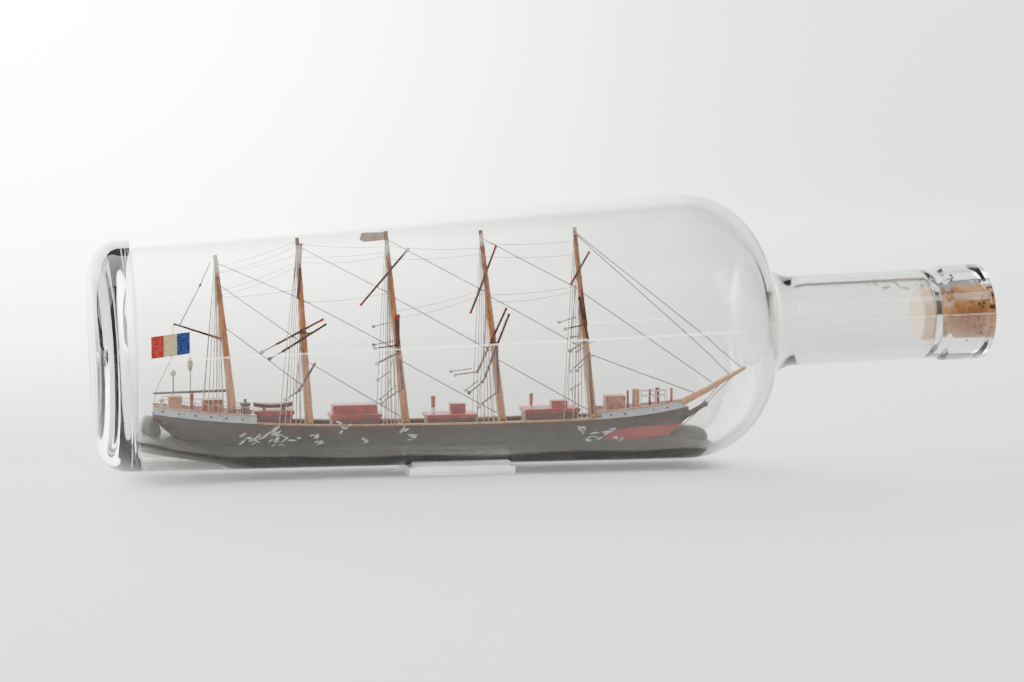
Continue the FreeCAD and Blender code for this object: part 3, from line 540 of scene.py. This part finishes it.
LAMP = Dusted("lamp_brass", srgb(186, 172, 140), srgb(140, 122, 96), 700.0, 0.45)
FOAM = Dusted("foam_paint", srgb(226, 226, 226), srgb(186, 188, 192), 500.0, 0.6)
CABIN = Dusted("cabin_paint", srgb(176, 106, 76), srgb(124, 62, 48), 700.0, 0.6, 0.4, fleck=0.6)
BEAD = Dusted("glass_bead", srgb(176, 172, 172), srgb(140, 132, 130), 600.0, 0.35)
WIRE = Dusted("pendant_wire", srgb(70, 52, 46), srgb(50, 38, 36), 700.0, 0.6)
REST = Acrylic("rest_acrylic")
FUNNEL = TwoTone("funnel_paint", srgb(190, 48, 40), srgb(160, 42, 36), 400.0, 0.5, 0.3,
                 level=0.0205, low_colour=srgb(226, 220, 212))

NODE_FINISHES: Dict[str, Finish] = {
    "hull": HULL, "main_deck": DECK, "poop_deck": DECK, "forecastle_deck": DECK, "cap_rails": LIGHT_WOOD,
    "poop_bulwark": BAND, "forecastle_bulwark": BAND, "aft_house": HOUSE, "midship_house": HOUSE,
    "galley_house": HOUSE, "fore_house": HOUSE, "house_roofs": ROOF, "skylights": ROOF, "lifeboat": HOUSE,
    "funnels": FUNNEL, "poop_cabin": ROOF, "stern_locker": LIGHT_WOOD, "binnacle": ROOF, "capstan": DARK_WOOD,
    "ventilator": BOAT, "windlass_house": CABIN, "cask": LIGHT_WOOD, "fore_bollards": ROOF,
    "forecastle_railing": BOAT, "mast_hinge_pins": PIN, "mast_steps": DARK_WOOD, "bowsprit": SPAR,
    "stem_knee": HULL, "gaff": DARK_WOOD, "boom": DARK_WOOD, "masthead_pennant": PENNANT,
    "flag_halyard": DARK_THREAD, "stern_lamps": LAMP, "forestays": DARK_THREAD, "bobstays": DARK_THREAD,
    "shrouds": PALE_THREAD, "braces": PALE_THREAD, "yard_ties": DARK_THREAD, "bottle_rest": REST,
    "mast_1": SPAR, "mast_2": SPAR, "mast_3": SPAR, "mast_4": SPAR, "mast_5": SPAR,
}


# --------------------------------------------------------------------------- mesh helpers
def new_piece(name: str, points: np.ndarray, faces: Sequence[Sequence[int]], finish: Finish,
              body: str, smooth: bool = True) -> bpy.types.Object:
    """Makes a mesh object from whole arrays and ties it to a body.

    Args:
        name: the piece's name.
        points: vertex positions in metres, one row each.
        faces: vertex numbers of each face.
        finish: the finish it wears.
        body: the CAD body it rides on.
        smooth: whether its faces are shaded smooth.

    Returns:
        The new object.
    """
    mesh = bpy.data.meshes.new(name)
    mesh.from_pydata(points.tolist(), [], [list(f) for f in faces])
    mesh.polygons.foreach_set("use_smooth", [smooth] * len(mesh.polygons))
    mesh.materials.append(finish.material())
    mesh.update()
    made = bpy.data.objects.new(name, mesh)
    bpy.context.scene.collection.objects.link(made)
    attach(made, body)
    LOG.info("%s: %d vertices on %s", name, len(points), body)
    return made


def grid_faces(rows: int, columns: int) -> np.ndarray:
    """Quads of a grid that closes on itself both ways, so a ring of profiles makes a solid of revolution.

    Args:
        rows: points along the profile.
        columns: turns of the profile.

    Returns:
        One row of four vertex numbers for each face.
    """
    i = np.arange(rows)
    j = np.arange(columns)
    ii, jj = np.meshgrid(i, j, indexing="ij")
    a = ii * columns + jj
    b = ii * columns + (jj + 1) % columns
    c = ((ii + 1) % rows) * columns + (jj + 1) % columns
    d = ((ii + 1) % rows) * columns + jj
    return np.stack([a, b, c, d], axis=-1).reshape(-1, 4)


def tube(start: Sequence[float], end: Sequence[float], radius: float, sides: int = 8) -> Shape:
    """A capped straight tube: two rings of points about the line from start to end."""
    a = np.array(start, float)
    b = np.array(end, float)
    along = (b - a) / np.linalg.norm(b - a)
    helper = np.array([0.0, 0.0, 1.0]) if abs(along[2]) < 0.9 else np.array([1.0, 0.0, 0.0])
    across = np.cross(along, helper)
    across /= np.linalg.norm(across)
    up = np.cross(along, across)
    turn = np.linspace(0.0, 2 * math.pi, sides, endpoint=False)
    ring = radius * (np.outer(np.cos(turn), across) + np.outer(np.sin(turn), up))
    points = np.vstack([a + ring, b + ring])
    faces = [[i, (i + 1) % sides, sides + (i + 1) % sides, sides + i] for i in range(sides)]
    faces += [list(range(sides))[::-1], list(range(sides, 2 * sides))]
    return points, faces


def lump(centre: Sequence[float], radii: Sequence[float], rough: float, rng: np.random.Generator,
         rows: int = 9, columns: int = 14, tilt: float = 0.0) -> Shape:
    """An uneven ball, stretched by its radii and turned about Y by tilt, its surface rough by that part."""
    theta = np.linspace(0.0, math.pi, rows)[1:-1]
    phi = np.linspace(0.0, 2 * math.pi, columns, endpoint=False)
    tt, pp = np.meshgrid(theta, phi, indexing="ij")
    scale = 1.0 + rough * (rng.random(tt.shape) - 0.5) * 2
    body = np.stack([np.sin(tt) * np.cos(pp), np.sin(tt) * np.sin(pp), np.cos(tt)], -1) * scale[..., None]
    body = body.reshape(-1, 3)
    points = np.vstack([body, [[0, 0, 1.0]], [[0, 0, -1.0]]]) * np.array(radii)
    cos, sin = math.cos(tilt), math.sin(tilt)
    points = points @ np.array([[cos, 0.0, -sin], [0.0, 1.0, 0.0], [sin, 0.0, cos]]) + np.array(centre)
    n = len(theta)
    faces = []
    for i in range(n - 1):
        for j in range(columns):
            k = (j + 1) % columns
            faces.append([i * columns + j, (i + 1) * columns + j, (i + 1) * columns + k, i * columns + k])
    top = n * columns
    for j in range(columns):
        k = (j + 1) % columns
        faces.append([top, j, k])
        faces.append([top + 1, (n - 1) * columns + k, (n - 1) * columns + j])
    return points, faces


class Pile:
    """Collects many small closed shapes in one mesh."""

    def __init__(self) -> None:
        """Starts empty."""
        self.points: List[np.ndarray] = []
        self.faces: List[List[int]] = []
        self.count = 0

    def add(self, shape: Shape) -> None:
        """Adds one shape, given as its points and faces."""
        points, faces = shape
        self.points.append(points)
        self.faces += [[v + self.count for v in f] for f in faces]
        self.count += len(points)

    def piece(self, name: str, finish: Finish, body: str, smooth: bool = True) -> bpy.types.Object:
        """Makes the mesh object of all that was added."""
        return new_piece(name, np.vstack(self.points), self.faces, finish, body, smooth)


# --------------------------------------------------------------------------- bottle
@dataclass
class Bottle:
    """The bottle's glass as one closed surface of revolution with uneven inner walls, in millimetres."""

    length: float = 304.0
    base_radius: float = 37.5
    body_radius: float = 44.5
    shoulder_start: float = 196.5
    shoulder_arc: float = 28.0
    fillet: float = 12.0
    inner_fillet: float = 18.0
    neck_radius: float = 15.2
    lip_radius: float = 16.3
    lip_length: float = 17.5
    lip_round: float = 2.4
    heel: float = 10.0
    push_up: float = 1.6
    push_up_radius: float = 24.0
    wall: float = 3.0
    base_thickness: float = 8.0
    inner_heel: float = 7.0
    bore_radius: float = 11.5
    mouth_radius: float = 9.3
    mouth_taper: float = math.radians(1.2)
    mouth_edge: float = 0.8
    mouth_cone: float = 4.0
    turns: int = 220
    unevenness: float = 0.16

    def __post_init__(self) -> None:
        """Works out the taper of the side."""
        self.taper = math.atan((self.body_radius - self.base_radius) / self.shoulder_start)

    def side(self, u: float, inset: float) -> float:
        """The radius of the tapered side at u, drawn in square to the side by inset."""
        return self.base_radius + u * math.tan(self.taper) - inset / math.cos(self.taper)

    @staticmethod
    def arc(centre: Sequence[float], radius: float, start: float, end: float, steps: int) -> Profile:
        """Points of an arc in the plane of u and r, from one angle to another."""
        angles = np.linspace(start, end, steps)
        return [(centre[0] + radius * math.cos(a), centre[1] + radius * math.sin(a)) for a in angles]

    def corner(self, at: float, radius: float, inset: float) -> Profile:
        """The rounded corner between a flat end at u = at and the tapered side."""
        cu = at + radius
        cr = self.side(cu, inset) - radius / math.cos(self.taper)
        return self.arc((cu, cr), radius, math.pi, math.pi / 2 + self.taper, 14)

    def shoulder(self, inset: float, convex: float, neck: float, concave: float) -> Profile:
        """The shoulder's convex arc and the fillet into the neck, which meet with one tangent."""
        start = (self.shoulder_start, self.side(self.shoulder_start, inset))
        c1 = (start[0] + math.sin(self.taper) * convex, start[1] - math.cos(self.taper) * convex)
        c2r = neck + concave
        c2 = (c1[0] + math.sqrt((convex + concave) ** 2 - (c2r - c1[1]) ** 2), c2r)
        angle = math.atan2(c2[1] - c1[1], c2[0] - c1[0])
        first = self.arc(c1, convex, math.pi / 2 + self.taper, angle, 30)
        second = self.arc(c2, concave, angle + math.pi, 1.5 * math.pi, 16)
        return first + second[1:]

    def profile(self) -> Tuple[np.ndarray, np.ndarray]:
        """The closed profile, from the middle of the push-up round the outside and back along the inside.

        Returns:
            The points as rows of u and r, and a number for each that is 1 where the inner wall may be uneven.
        """
        tiny = 0.02
        dome = (self.push_up_radius ** 2 + self.push_up ** 2) / (2 * self.push_up)
        r = np.linspace(tiny, self.push_up_radius, 10)
        outer = [(self.push_up - dome + math.sqrt(dome ** 2 - v * v), v) for v in r]
        outer += self.corner(0.0, self.heel, 0.0)
        outer += [(u, self.side(u, 0.0)) for u in np.linspace(self.heel + 4.0, self.shoulder_start - 4.0, 30)]
        outer += self.shoulder(0.0, self.shoulder_arc, self.neck_radius, self.fillet)
        lip = self.length - self.lip_length
        outer += [(u, self.neck_radius) for u in np.linspace(outer[-1][0], lip - 0.6, 8)[1:]]
        step = self.lip_radius - self.neck_radius
        t = np.linspace(0.0, 1.0, 8)
        outer += [(lip - 0.5 + 2.2 * v, self.neck_radius + step * v * v * (3 - 2 * v)) for v in t]
        outer += [(u, self.lip_radius) for u in np.linspace(lip + 2.4, self.length - self.lip_round - 0.5, 5)]
        outer += self.arc((self.length - self.lip_round, self.lip_radius - self.lip_round), self.lip_round,
                          math.pi / 2, 0.0, 9)
        edge = self.mouth_edge
        outer += self.arc((self.length - edge, self.mouth_radius + edge), edge, 0.0, -math.pi / 2, 6)
        bore = [self.mouth_radius - (self.length - u) * math.tan(self.mouth_taper)
                for u in np.linspace(self.length - edge - 0.5, lip, 8)]
        outer += list(zip(np.linspace(self.length - edge - 0.5, lip, 8), bore))
        widening = self.bore_radius - bore[-1]
        cone = [(lip - self.mouth_cone * v, bore[-1] + widening * v * v * (3 - 2 * v)) for v in t]
        outer += cone[1:]
        plain = len(outer)
        inner = self.corner(self.base_thickness, self.inner_heel, self.wall)
        inner = [(self.base_thickness, v) for v in np.linspace(tiny, inner[0][1] - 1.0, 10)] + inner
        heel_end = self.base_thickness + self.inner_heel + 3.0
        inner += [(u, self.side(u, self.wall)) for u in np.linspace(heel_end, self.shoulder_start - 4.0, 40)]
        inner += self.shoulder(self.wall, self.shoulder_arc - self.wall, self.bore_radius, self.inner_fillet)
        neck_end = lip - self.mouth_cone - 1.0
        inner += [(u, self.bore_radius) for u in np.linspace(inner[-1][0] + 1.0, neck_end, 10)]
        points = np.array(outer + inner[::-1], float)
        loose = np.array([0.0] * plain + [1.0] * len(inner))
        loose[points[:, 1] < 1.0] = 0.0
        return points, loose

    def surface(self) -> np.ndarray:
        """Revolves the profile, pushes the inner wall outward by a slow wave, and lays the bottle down.

        Each point is (u, r) turned by theta about the axis; the inner wall's r grows by a sum of three
        waves in u and theta; then the axis is tilted up by the taper.
        """
        points, loose = self.profile()
        theta = np.linspace(0.0, 2 * math.pi, self.turns, endpoint=False)
        u = np.repeat(points[:, :1], self.turns, axis=1)
        r = np.repeat(points[:, 1:], self.turns, axis=1)
        wave = np.sin(u * 0.11 + 2.0 * theta) + np.sin(u * 0.047 - 3.0 * theta + 1.3)
        wave = (wave + np.sin(5.0 * theta + 0.7)) / 6
        r = r + loose[:, None] * self.unevenness * (wave + 0.5) * np.clip(r / 30.0, 0.0, 1.0)
        side = r * np.cos(theta)
        x = u * math.cos(self.taper) - side * math.sin(self.taper)
        z = u * math.sin(self.taper) + side * math.cos(self.taper)
        return np.stack([x, r * np.sin(theta), z], -1).reshape(-1, 3) * MM

    def build(self) -> bpy.types.Object:
        """Makes the glass and puts it where the CAD bottle is."""
        points = self.surface()
        low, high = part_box("bottle")
        points[:, 0] += (low.x + high.x) / 2 - (points[:, 0].min() + points[:, 0].max()) / 2
        points[:, 2] += high.z - points[:, 2].max()
        rows = len(points) // self.turns
        faces = grid_faces(rows, self.turns)[:, ::-1]
        mouth = (high.x - 0.017, high.x + 0.001)
        neck = (high.x - 0.046, high.x - 0.026)
        finish = ClearGlass("bottle_glass", neck=neck, mouth=mouth)
        made = new_piece("bottle_glass", points, faces.tolist(), finish, SHIP_BODY)
        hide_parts("bottle")
        return made


# --------------------------------------------------------------------------- ship
@dataclass
class Ship:
    """The finishes of the ship's CAD pieces, and the small things that only the eye needs."""

    seed: int = 7
    dot_radius: float = 0.00042
    dot_pitch: float = 0.0051
    rail_radius: float = 0.00016
    contact: float = 0.0006
    wall_reach: float = 0.00025
    heap_at: Point = (0.0105, -0.0030, 0.0150)
    hanger_side: float = 0.0013
    hangers: Sequence[Tuple[float, float, float, float]] = (
        (3.4, 48.0, 9.3, 49.7), (7.6, 43.0, 11.1, 43.4), (9.3, 38.0, 15.7, 41.8), (9.3, 31.7, 15.4, 37.0),
        (7.6, 25.5, 11.1, 27.5), (-59.3, 47.5, -51.5, 49.2), (-59.3, 41.4, -50.5, 42.9),
        (-58.2, 35.4, -50.5, 39.3), (-57.9, 29.8, -53.8, 32.7), (-57.1, 23.5, -50.1, 29.3),
        (-33.2, 32.2, -26.3, 33.2), (-28.3, 25.9, -24.0, 29.2), (-24.1, 20.5, -17.2, 25.7),
        (-88.7, 24.0, -82.7, 27.2),
    )
    crests: Sequence[Tuple[float, float, float]] = field(default_factory=lambda: (
        (-0.1023, 0.0128, 1.2), (-0.0987, 0.0130, 1.3), (-0.0943, 0.0142, 1.5), (-0.0915, 0.0128, 1.4),
        (-0.0893, 0.0120, 1.2), (-0.0800, 0.0128, 1.1), (-0.0710, 0.0162, 1.0), (-0.0640, 0.0120, 0.9),
        (-0.0510, 0.0150, 1.0), (-0.0480, 0.0126, 0.8), (0.0095, 0.0138, 1.0), (0.0135, 0.0112, 1.3),
        (0.0180, 0.0120, 1.1), (0.0220, 0.0098, 1.0),
    ))

    def dress(self) -> None:
        """Gives every CAD piece its finish."""
        for name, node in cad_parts.items():
            finish = NODE_FINISHES.get(name)
            if finish is None:
                finish = self.special(name)
            if finish is None:
                continue
            node.data.materials.clear()
            node.data.materials.append(finish.material())
            LOG.info("%s wears %s", name, finish.name)

    def special(self, name: str) -> Optional[Finish]:
        """The finish of a piece that is painted by its own box.

        Args:
            name: the CAD node.

        Returns:
            The finish, or None for a node that another piece replaces.
        """
        low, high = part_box(name)
        if "_yard_" in name:
            beaded = "royal" not in name
            return YardPaint("paint_" + name, YARD_WOOD[0], YARD_WOOD[1], 400.0, 0.5, 0.3,
                             low=tuple(low), high=tuple(high), beaded=beaded)
        if name == "flag":
            return FlagPaper("flag_paper", low.x, high.x)
        if name == "cork":
            return Cork("cork", low.x)
        return None

    def band_dots(self) -> None:
        """Brown dots set in a row along both pale bulwarks, on their outer faces."""
        pile = Pile()
        for name in ("poop_bulwark", "forecastle_bulwark"):
            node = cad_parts[name]
            points = np.array([v.co for v in node.data.vertices])
            low, high = points[:, 0].min(), points[:, 0].max()
            for x in np.arange(low + 0.003, high - 0.003, self.dot_pitch):
                near = points[np.abs(points[:, 0] - x) < 0.0013]
                if not len(near):
                    continue
                for side in (-1, 1):
                    edge = near[np.sign(near[:, 1]) == side]
                    if not len(edge):
                        continue
                    y = side * np.abs(edge[:, 1]).max()
                    z = (edge[:, 2].min() + edge[:, 2].max()) / 2
                    pile.add(tube((x, y - side * 0.0003, z), (x, y + side * 0.00012, z), self.dot_radius, 8))
        pile.piece("band_dots", DARK_RED, SHIP_BODY, False)

    def poop_rails(self) -> None:
        """Thin rails on short posts along both sides of the poop."""
        pile = Pile()
        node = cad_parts["poop_bulwark"]
        points = np.array([v.co for v in node.data.vertices])
        low, high = points[:, 0].min(), points[:, 0].max()
        for side in (-1, 1):
            tops = []
            for x in np.linspace(low + 0.0035, high - 0.001, 9):
                near = points[(np.abs(points[:, 0] - x) < 0.0016) & (np.sign(points[:, 1]) == side)]
                if not len(near):
                    continue
                y = side * (np.abs(near[:, 1]).max() - 0.0006)
                z = near[:, 2].max() + 0.0003
                pile.add(tube((x, y, z - 0.0006), (x, y, z + 0.0024), self.rail_radius, 6))
                tops.append((x, y, z + 0.0024))
            for a, b in zip(tops, tops[1:]):
                pile.add(tube(a, b, self.rail_radius, 6))
        pile.piece("poop_rails", LIGHT_WOOD, SHIP_BODY)

    def pendants(self) -> None:
        """Short stiff wires with a pale bead at the end, glued to the far side of the masts.

        Each row is the bead's and the other end's X and Z, in millimetres.
        """
        wires = Pile()
        beads = Pile()
        rng = np.random.default_rng(self.seed + 1)
        for x0, z0, x1, z1 in self.hangers:
            bead = (x0 * MM, self.hanger_side, z0 * MM)
            wires.add(tube(bead, (x1 * MM, self.hanger_side * 0.7, z1 * MM), 0.00020, 6))
            beads.add(lump(bead, (0.00072, 0.00060, 0.00060), 0.15, rng, 7, 10))
        wires.piece("pendant_wires", WIRE, SHIP_BODY)
        beads.piece("pendant_beads", BEAD, SHIP_BODY)

    def foam(self) -> None:
        """White crests brushed up along the near side of the hull, and a curl of foam under the bow."""
        rng = np.random.default_rng(self.seed)
        pile = Pile()
        side_y = max(v.co.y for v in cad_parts["hull"].data.vertices)
        for x, z, size in self.crests:
            for side in (1, -1):
                for _ in range(6):
                    dx, dy, dz = rng.normal(0.0, 1.0, 3) * (0.0013, 0.0003, 0.0008) * size
                    radii = (0.0009 * size * rng.uniform(0.5, 1.4), 0.0003, 0.00019 * rng.uniform(0.7, 1.6))
                    centre = (x + dx, side * (side_y + 0.0001 + abs(dy)), z - 0.0006 + dz)
                    pile.add(lump(centre, radii, 0.3, rng, 6, 8, rng.uniform(-0.9, 0.5)))
        for _ in range(14):
            heap = (rng.normal(0.0, 0.0018), rng.normal(0.0, 0.0008), abs(rng.normal(0.0, 0.0006)))
            centre = tuple(a + b for a, b in zip(self.heap_at, heap))
            pile.add(lump(centre, (0.0008, 0.0007, 0.0006), 0.3, rng, 6, 8))
        pile.piece("foam_crests", FOAM, SHIP_BODY)

    def putty(self, bottle: Bottle) -> None:
        """Beds the sea in the inner wall of the glass, as putty wets it, so that it shows through the wall.

        Each point of the CAD sea that lies on the wall moves out from the bottle's axis by contact.
        """
        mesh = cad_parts["sea"].data
        points = np.array([v.co for v in mesh.vertices])
        low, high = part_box("bottle")
        base = Vector((low.x, 0.0, low.z + bottle.base_radius * MM * math.cos(bottle.taper)))
        u = (points[:, 0] - base.x) / MM
        axis_z = base.z + (points[:, 0] - base.x) * math.tan(bottle.taper)
        arm = np.stack([points[:, 1], points[:, 2] - axis_z], -1)
        radius = np.linalg.norm(arm, axis=1)
        wall = (bottle.base_radius + u * math.tan(bottle.taper) - bottle.wall) * MM
        on_wall = radius > wall - self.wall_reach
        scale = np.where(on_wall, 1.0 + self.contact / radius, 1.0)
        points[:, 1] = arm[:, 0] * scale
        points[:, 2] = axis_z + arm[:, 1] * scale
        faces = [list(polygon.vertices) for polygon in mesh.polygons]
        made = new_piece("putty", points, faces, PuttySea("putty_sea"), SHIP_BODY, False)
        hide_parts("sea")

    def build(self, bottle: Bottle) -> None:
        """Dresses the CAD pieces and adds the small ones."""
        self.dress()
        self.putty(bottle)
        self.band_dots()
        self.poop_rails()
        self.pendants()
        self.foam()


DARK_RED = Dusted("dot_paint", srgb(120, 62, 48), srgb(96, 50, 40), 700.0, 0.6)


# --------------------------------------------------------------------------- studio
class Softness(Enum):
    """How large a light is beside the object."""

    BROAD = 1.2
    WINDOW = 0.42


@dataclass
class Lamp:
    """An area light that faces a point."""

    name: str
    place: Point
    power: float
    softness: Softness
    height: float = 1.0
    target: Point = (0.0, 0.0, 0.045)
    colour: Colour = (1.0, 1.0, 1.0)

    def build(self) -> None:
        """Makes the light."""
        data = bpy.data.lights.new(self.name, "AREA")
        data.shape = "RECTANGLE"
        data.size = self.softness.value
        data.size_y = self.softness.value * self.height
        data.energy = self.power
        data.color = self.colour
        made = bpy.data.objects.new(self.name, data)
        made.location = self.place
        made.rotation_euler = (Vector(self.target) - Vector(self.place)).to_track_quat("-Z", "Y").to_euler()
        bpy.context.scene.collection.objects.link(made)


@dataclass
class Studio:
    """The sweep of pale paper, the soft light and the camera."""

    yaw: float = math.radians(11.0)
    elevation: float = math.radians(5.0)
    distance: float = 0.950
    focal_mm: float = 99.86
    aim: Point = (0.0, 0.0, 0.0448)
    aim_right: float = 0.0125
    aim_up: float = 0.00287
    floor_drop: float = 0.0003
    floor_reach: float = 2.6
    bend: float = 0.8
    dim_glow: float = 0.16
    side_glow: float = 0.8
    top_glow: float = 0.35

    def backdrop(self) -> None:
        """A sheet that lies flat under the object and curves up behind it.

        Its section is a level run, a quarter circle of radius bend, and an upright run.
        """
        turn = np.linspace(0.0, math.pi / 2, 24)
        section = [(-2.4, 0.0), (-1.0, 0.0), (0.0, 0.0), (self.floor_reach - self.bend, 0.0)]
        section += [(self.floor_reach - self.bend + self.bend * math.sin(a), self.bend * (1 - math.cos(a)))
                    for a in turn[1:]]
        section += [(self.floor_reach, 1.6), (self.floor_reach, 2.4)]
        xs = np.linspace(-3.2, 3.2, 9)
        points = np.array([(x, y, z - self.floor_drop) for y, z in section for x in xs])
        n = len(xs)
        faces = [[i * n + j, i * n + j + 1, (i + 1) * n + j + 1, (i + 1) * n + j]
                 for i in range(len(section) - 1) for j in range(n - 1)]
        mesh = bpy.data.meshes.new("backdrop")
        mesh.from_pydata(points.tolist(), [], faces)
        mesh.polygons.foreach_set("use_smooth", [True] * len(mesh.polygons))
        made = bpy.data.objects.new("backdrop", mesh)
        bpy.context.scene.collection.objects.link(made)
        material = bpy.data.materials.new("paper")
        material.use_nodes = True
        material.node_tree.nodes.clear()
        graph = Graph(material.node_tree)
        mottle = graph.mix(graph.noise(2.0, 2.0), (0.80, 0.80, 0.81), (0.84, 0.84, 0.845))
        # Painted shade: the paper turns near black towards the camera side, standing in for the dark room in
        # front, so that the glass reflects dark there.
        mottle = graph.mix(graph.ramp(graph.axis("Y"), -0.36, -0.95), mottle, (0.10, 0.10, 0.105))
        paper = graph.principled(mottle, 0.9, None, 0.1)
        # Painted light: the paper itself glows above eye level, much more strongly to the left of the frame,
        # and the floor behind the bottle glows on the left.
        glow = graph.node("Emission")
        reach = graph.plus(graph.axis("Y"), self.distance)
        swing = graph.times(graph.axis("Y"), math.tan(self.yaw))
        across = graph.maths("SUBTRACT", graph.axis("X"), swing)
        left = graph.ramp(graph.maths("DIVIDE", across, reach), 0.15, -0.19)
        eye = self.aim[2] + self.distance * math.sin(self.elevation)
        rise = graph.maths("SUBTRACT", graph.axis("Z"), eye)
        level = graph.ramp(graph.maths("DIVIDE", rise, reach), -0.13, 0.04)
        lift = graph.times(graph.times(left, left), 11.0)
        high = graph.times(level, graph.plus(lift, 1.5))
        behind = graph.ramp(graph.axis("Y"), 0.08, 0.6)
        low = graph.times(left, graph.times(behind, 1.7))
        graph.put(glow.inputs["Strength"], graph.plus(high, low))
        add = graph.node("AddShader")
        graph.put(add.inputs[0], paper)
        graph.put(add.inputs[1], glow.outputs[0])
        graph.finish(add.outputs[0])
        mesh.materials.append(material)

    def world(self) -> None:
        """A dim surround that is brighter on the side of the bottle's base and overhead."""
        world = bpy.data.worlds.new("surround")
        world.use_nodes = True
        world.node_tree.nodes.clear()
        graph = Graph(world.node_tree)
        split = graph.node("SeparateXYZ")
        graph.put(split.inputs[0], graph.node("TexCoord").outputs["Generated"])
        side = graph.times(graph.ramp(split.outputs["X"], -0.15, -0.8), self.side_glow)
        above = graph.times(graph.ramp(split.outputs["Z"], 0.3, 0.95), self.top_glow)
        light = graph.node("Background")
        graph.put(light.inputs["Color"], (0.97, 0.98, 1.0))
        glow = graph.plus(graph.plus(side, above), self.dim_glow)
        graph.put(light.inputs["Strength"], glow)
        output = graph.node("OutputWorld")
        graph.put(output.inputs["Surface"], light.outputs[0])
        bpy.context.scene.world = world

    def camera(self) -> None:
        """The camera, at the angle and distance that the object is looked at from."""
        sy, cy = math.sin(self.yaw), math.cos(self.yaw)
        se, ce = math.sin(self.elevation), math.cos(self.elevation)
        right = Vector((cy, -sy, 0.0))
        ahead = Vector((sy * ce, cy * ce, -se))
        up = Vector((sy * se, cy * se, ce))
        place = Vector(self.aim) - right * self.aim_right - up * self.aim_up - ahead * self.distance
        data = bpy.data.cameras.new("camera")
        data.sensor_width = 36.0
        data.lens = self.focal_mm
        data.clip_start = 0.01
        made = bpy.data.objects.new("camera", data)
        made.matrix_world = Matrix((
            (right.x, up.x, -ahead.x, place.x),
            (right.y, up.y, -ahead.y, place.y),
            (right.z, up.z, -ahead.z, place.z),
            (0.0, 0.0, 0.0, 1.0),
        ))
        bpy.context.scene.collection.objects.link(made)
        bpy.context.scene.camera = made

    def build(self) -> None:
        """Makes the backdrop, the world, the lights and the camera."""
        self.backdrop()
        self.world()
        for lamp in (
            Lamp("top_light", (-0.5, 0.3, 1.5), 22.0, Softness.BROAD),
            Lamp("left_light", (-1.3, 0.2, 0.8), 20.0, Softness.BROAD),
            Lamp("window_light", (0.75, -0.95, 0.85), 5.5, Softness.WINDOW, 1.6),
        ):
            lamp.build()
        self.camera()


def main() -> None:
    """Builds the glass, the ship and the studio in order."""
    logging.basicConfig(level=logging.INFO, format="%(name)s: %(message)s")
    bottle = Bottle()
    bottle.build()
    Ship().build(bottle)
    Studio().build()


if __name__ == "__main__":
    main()
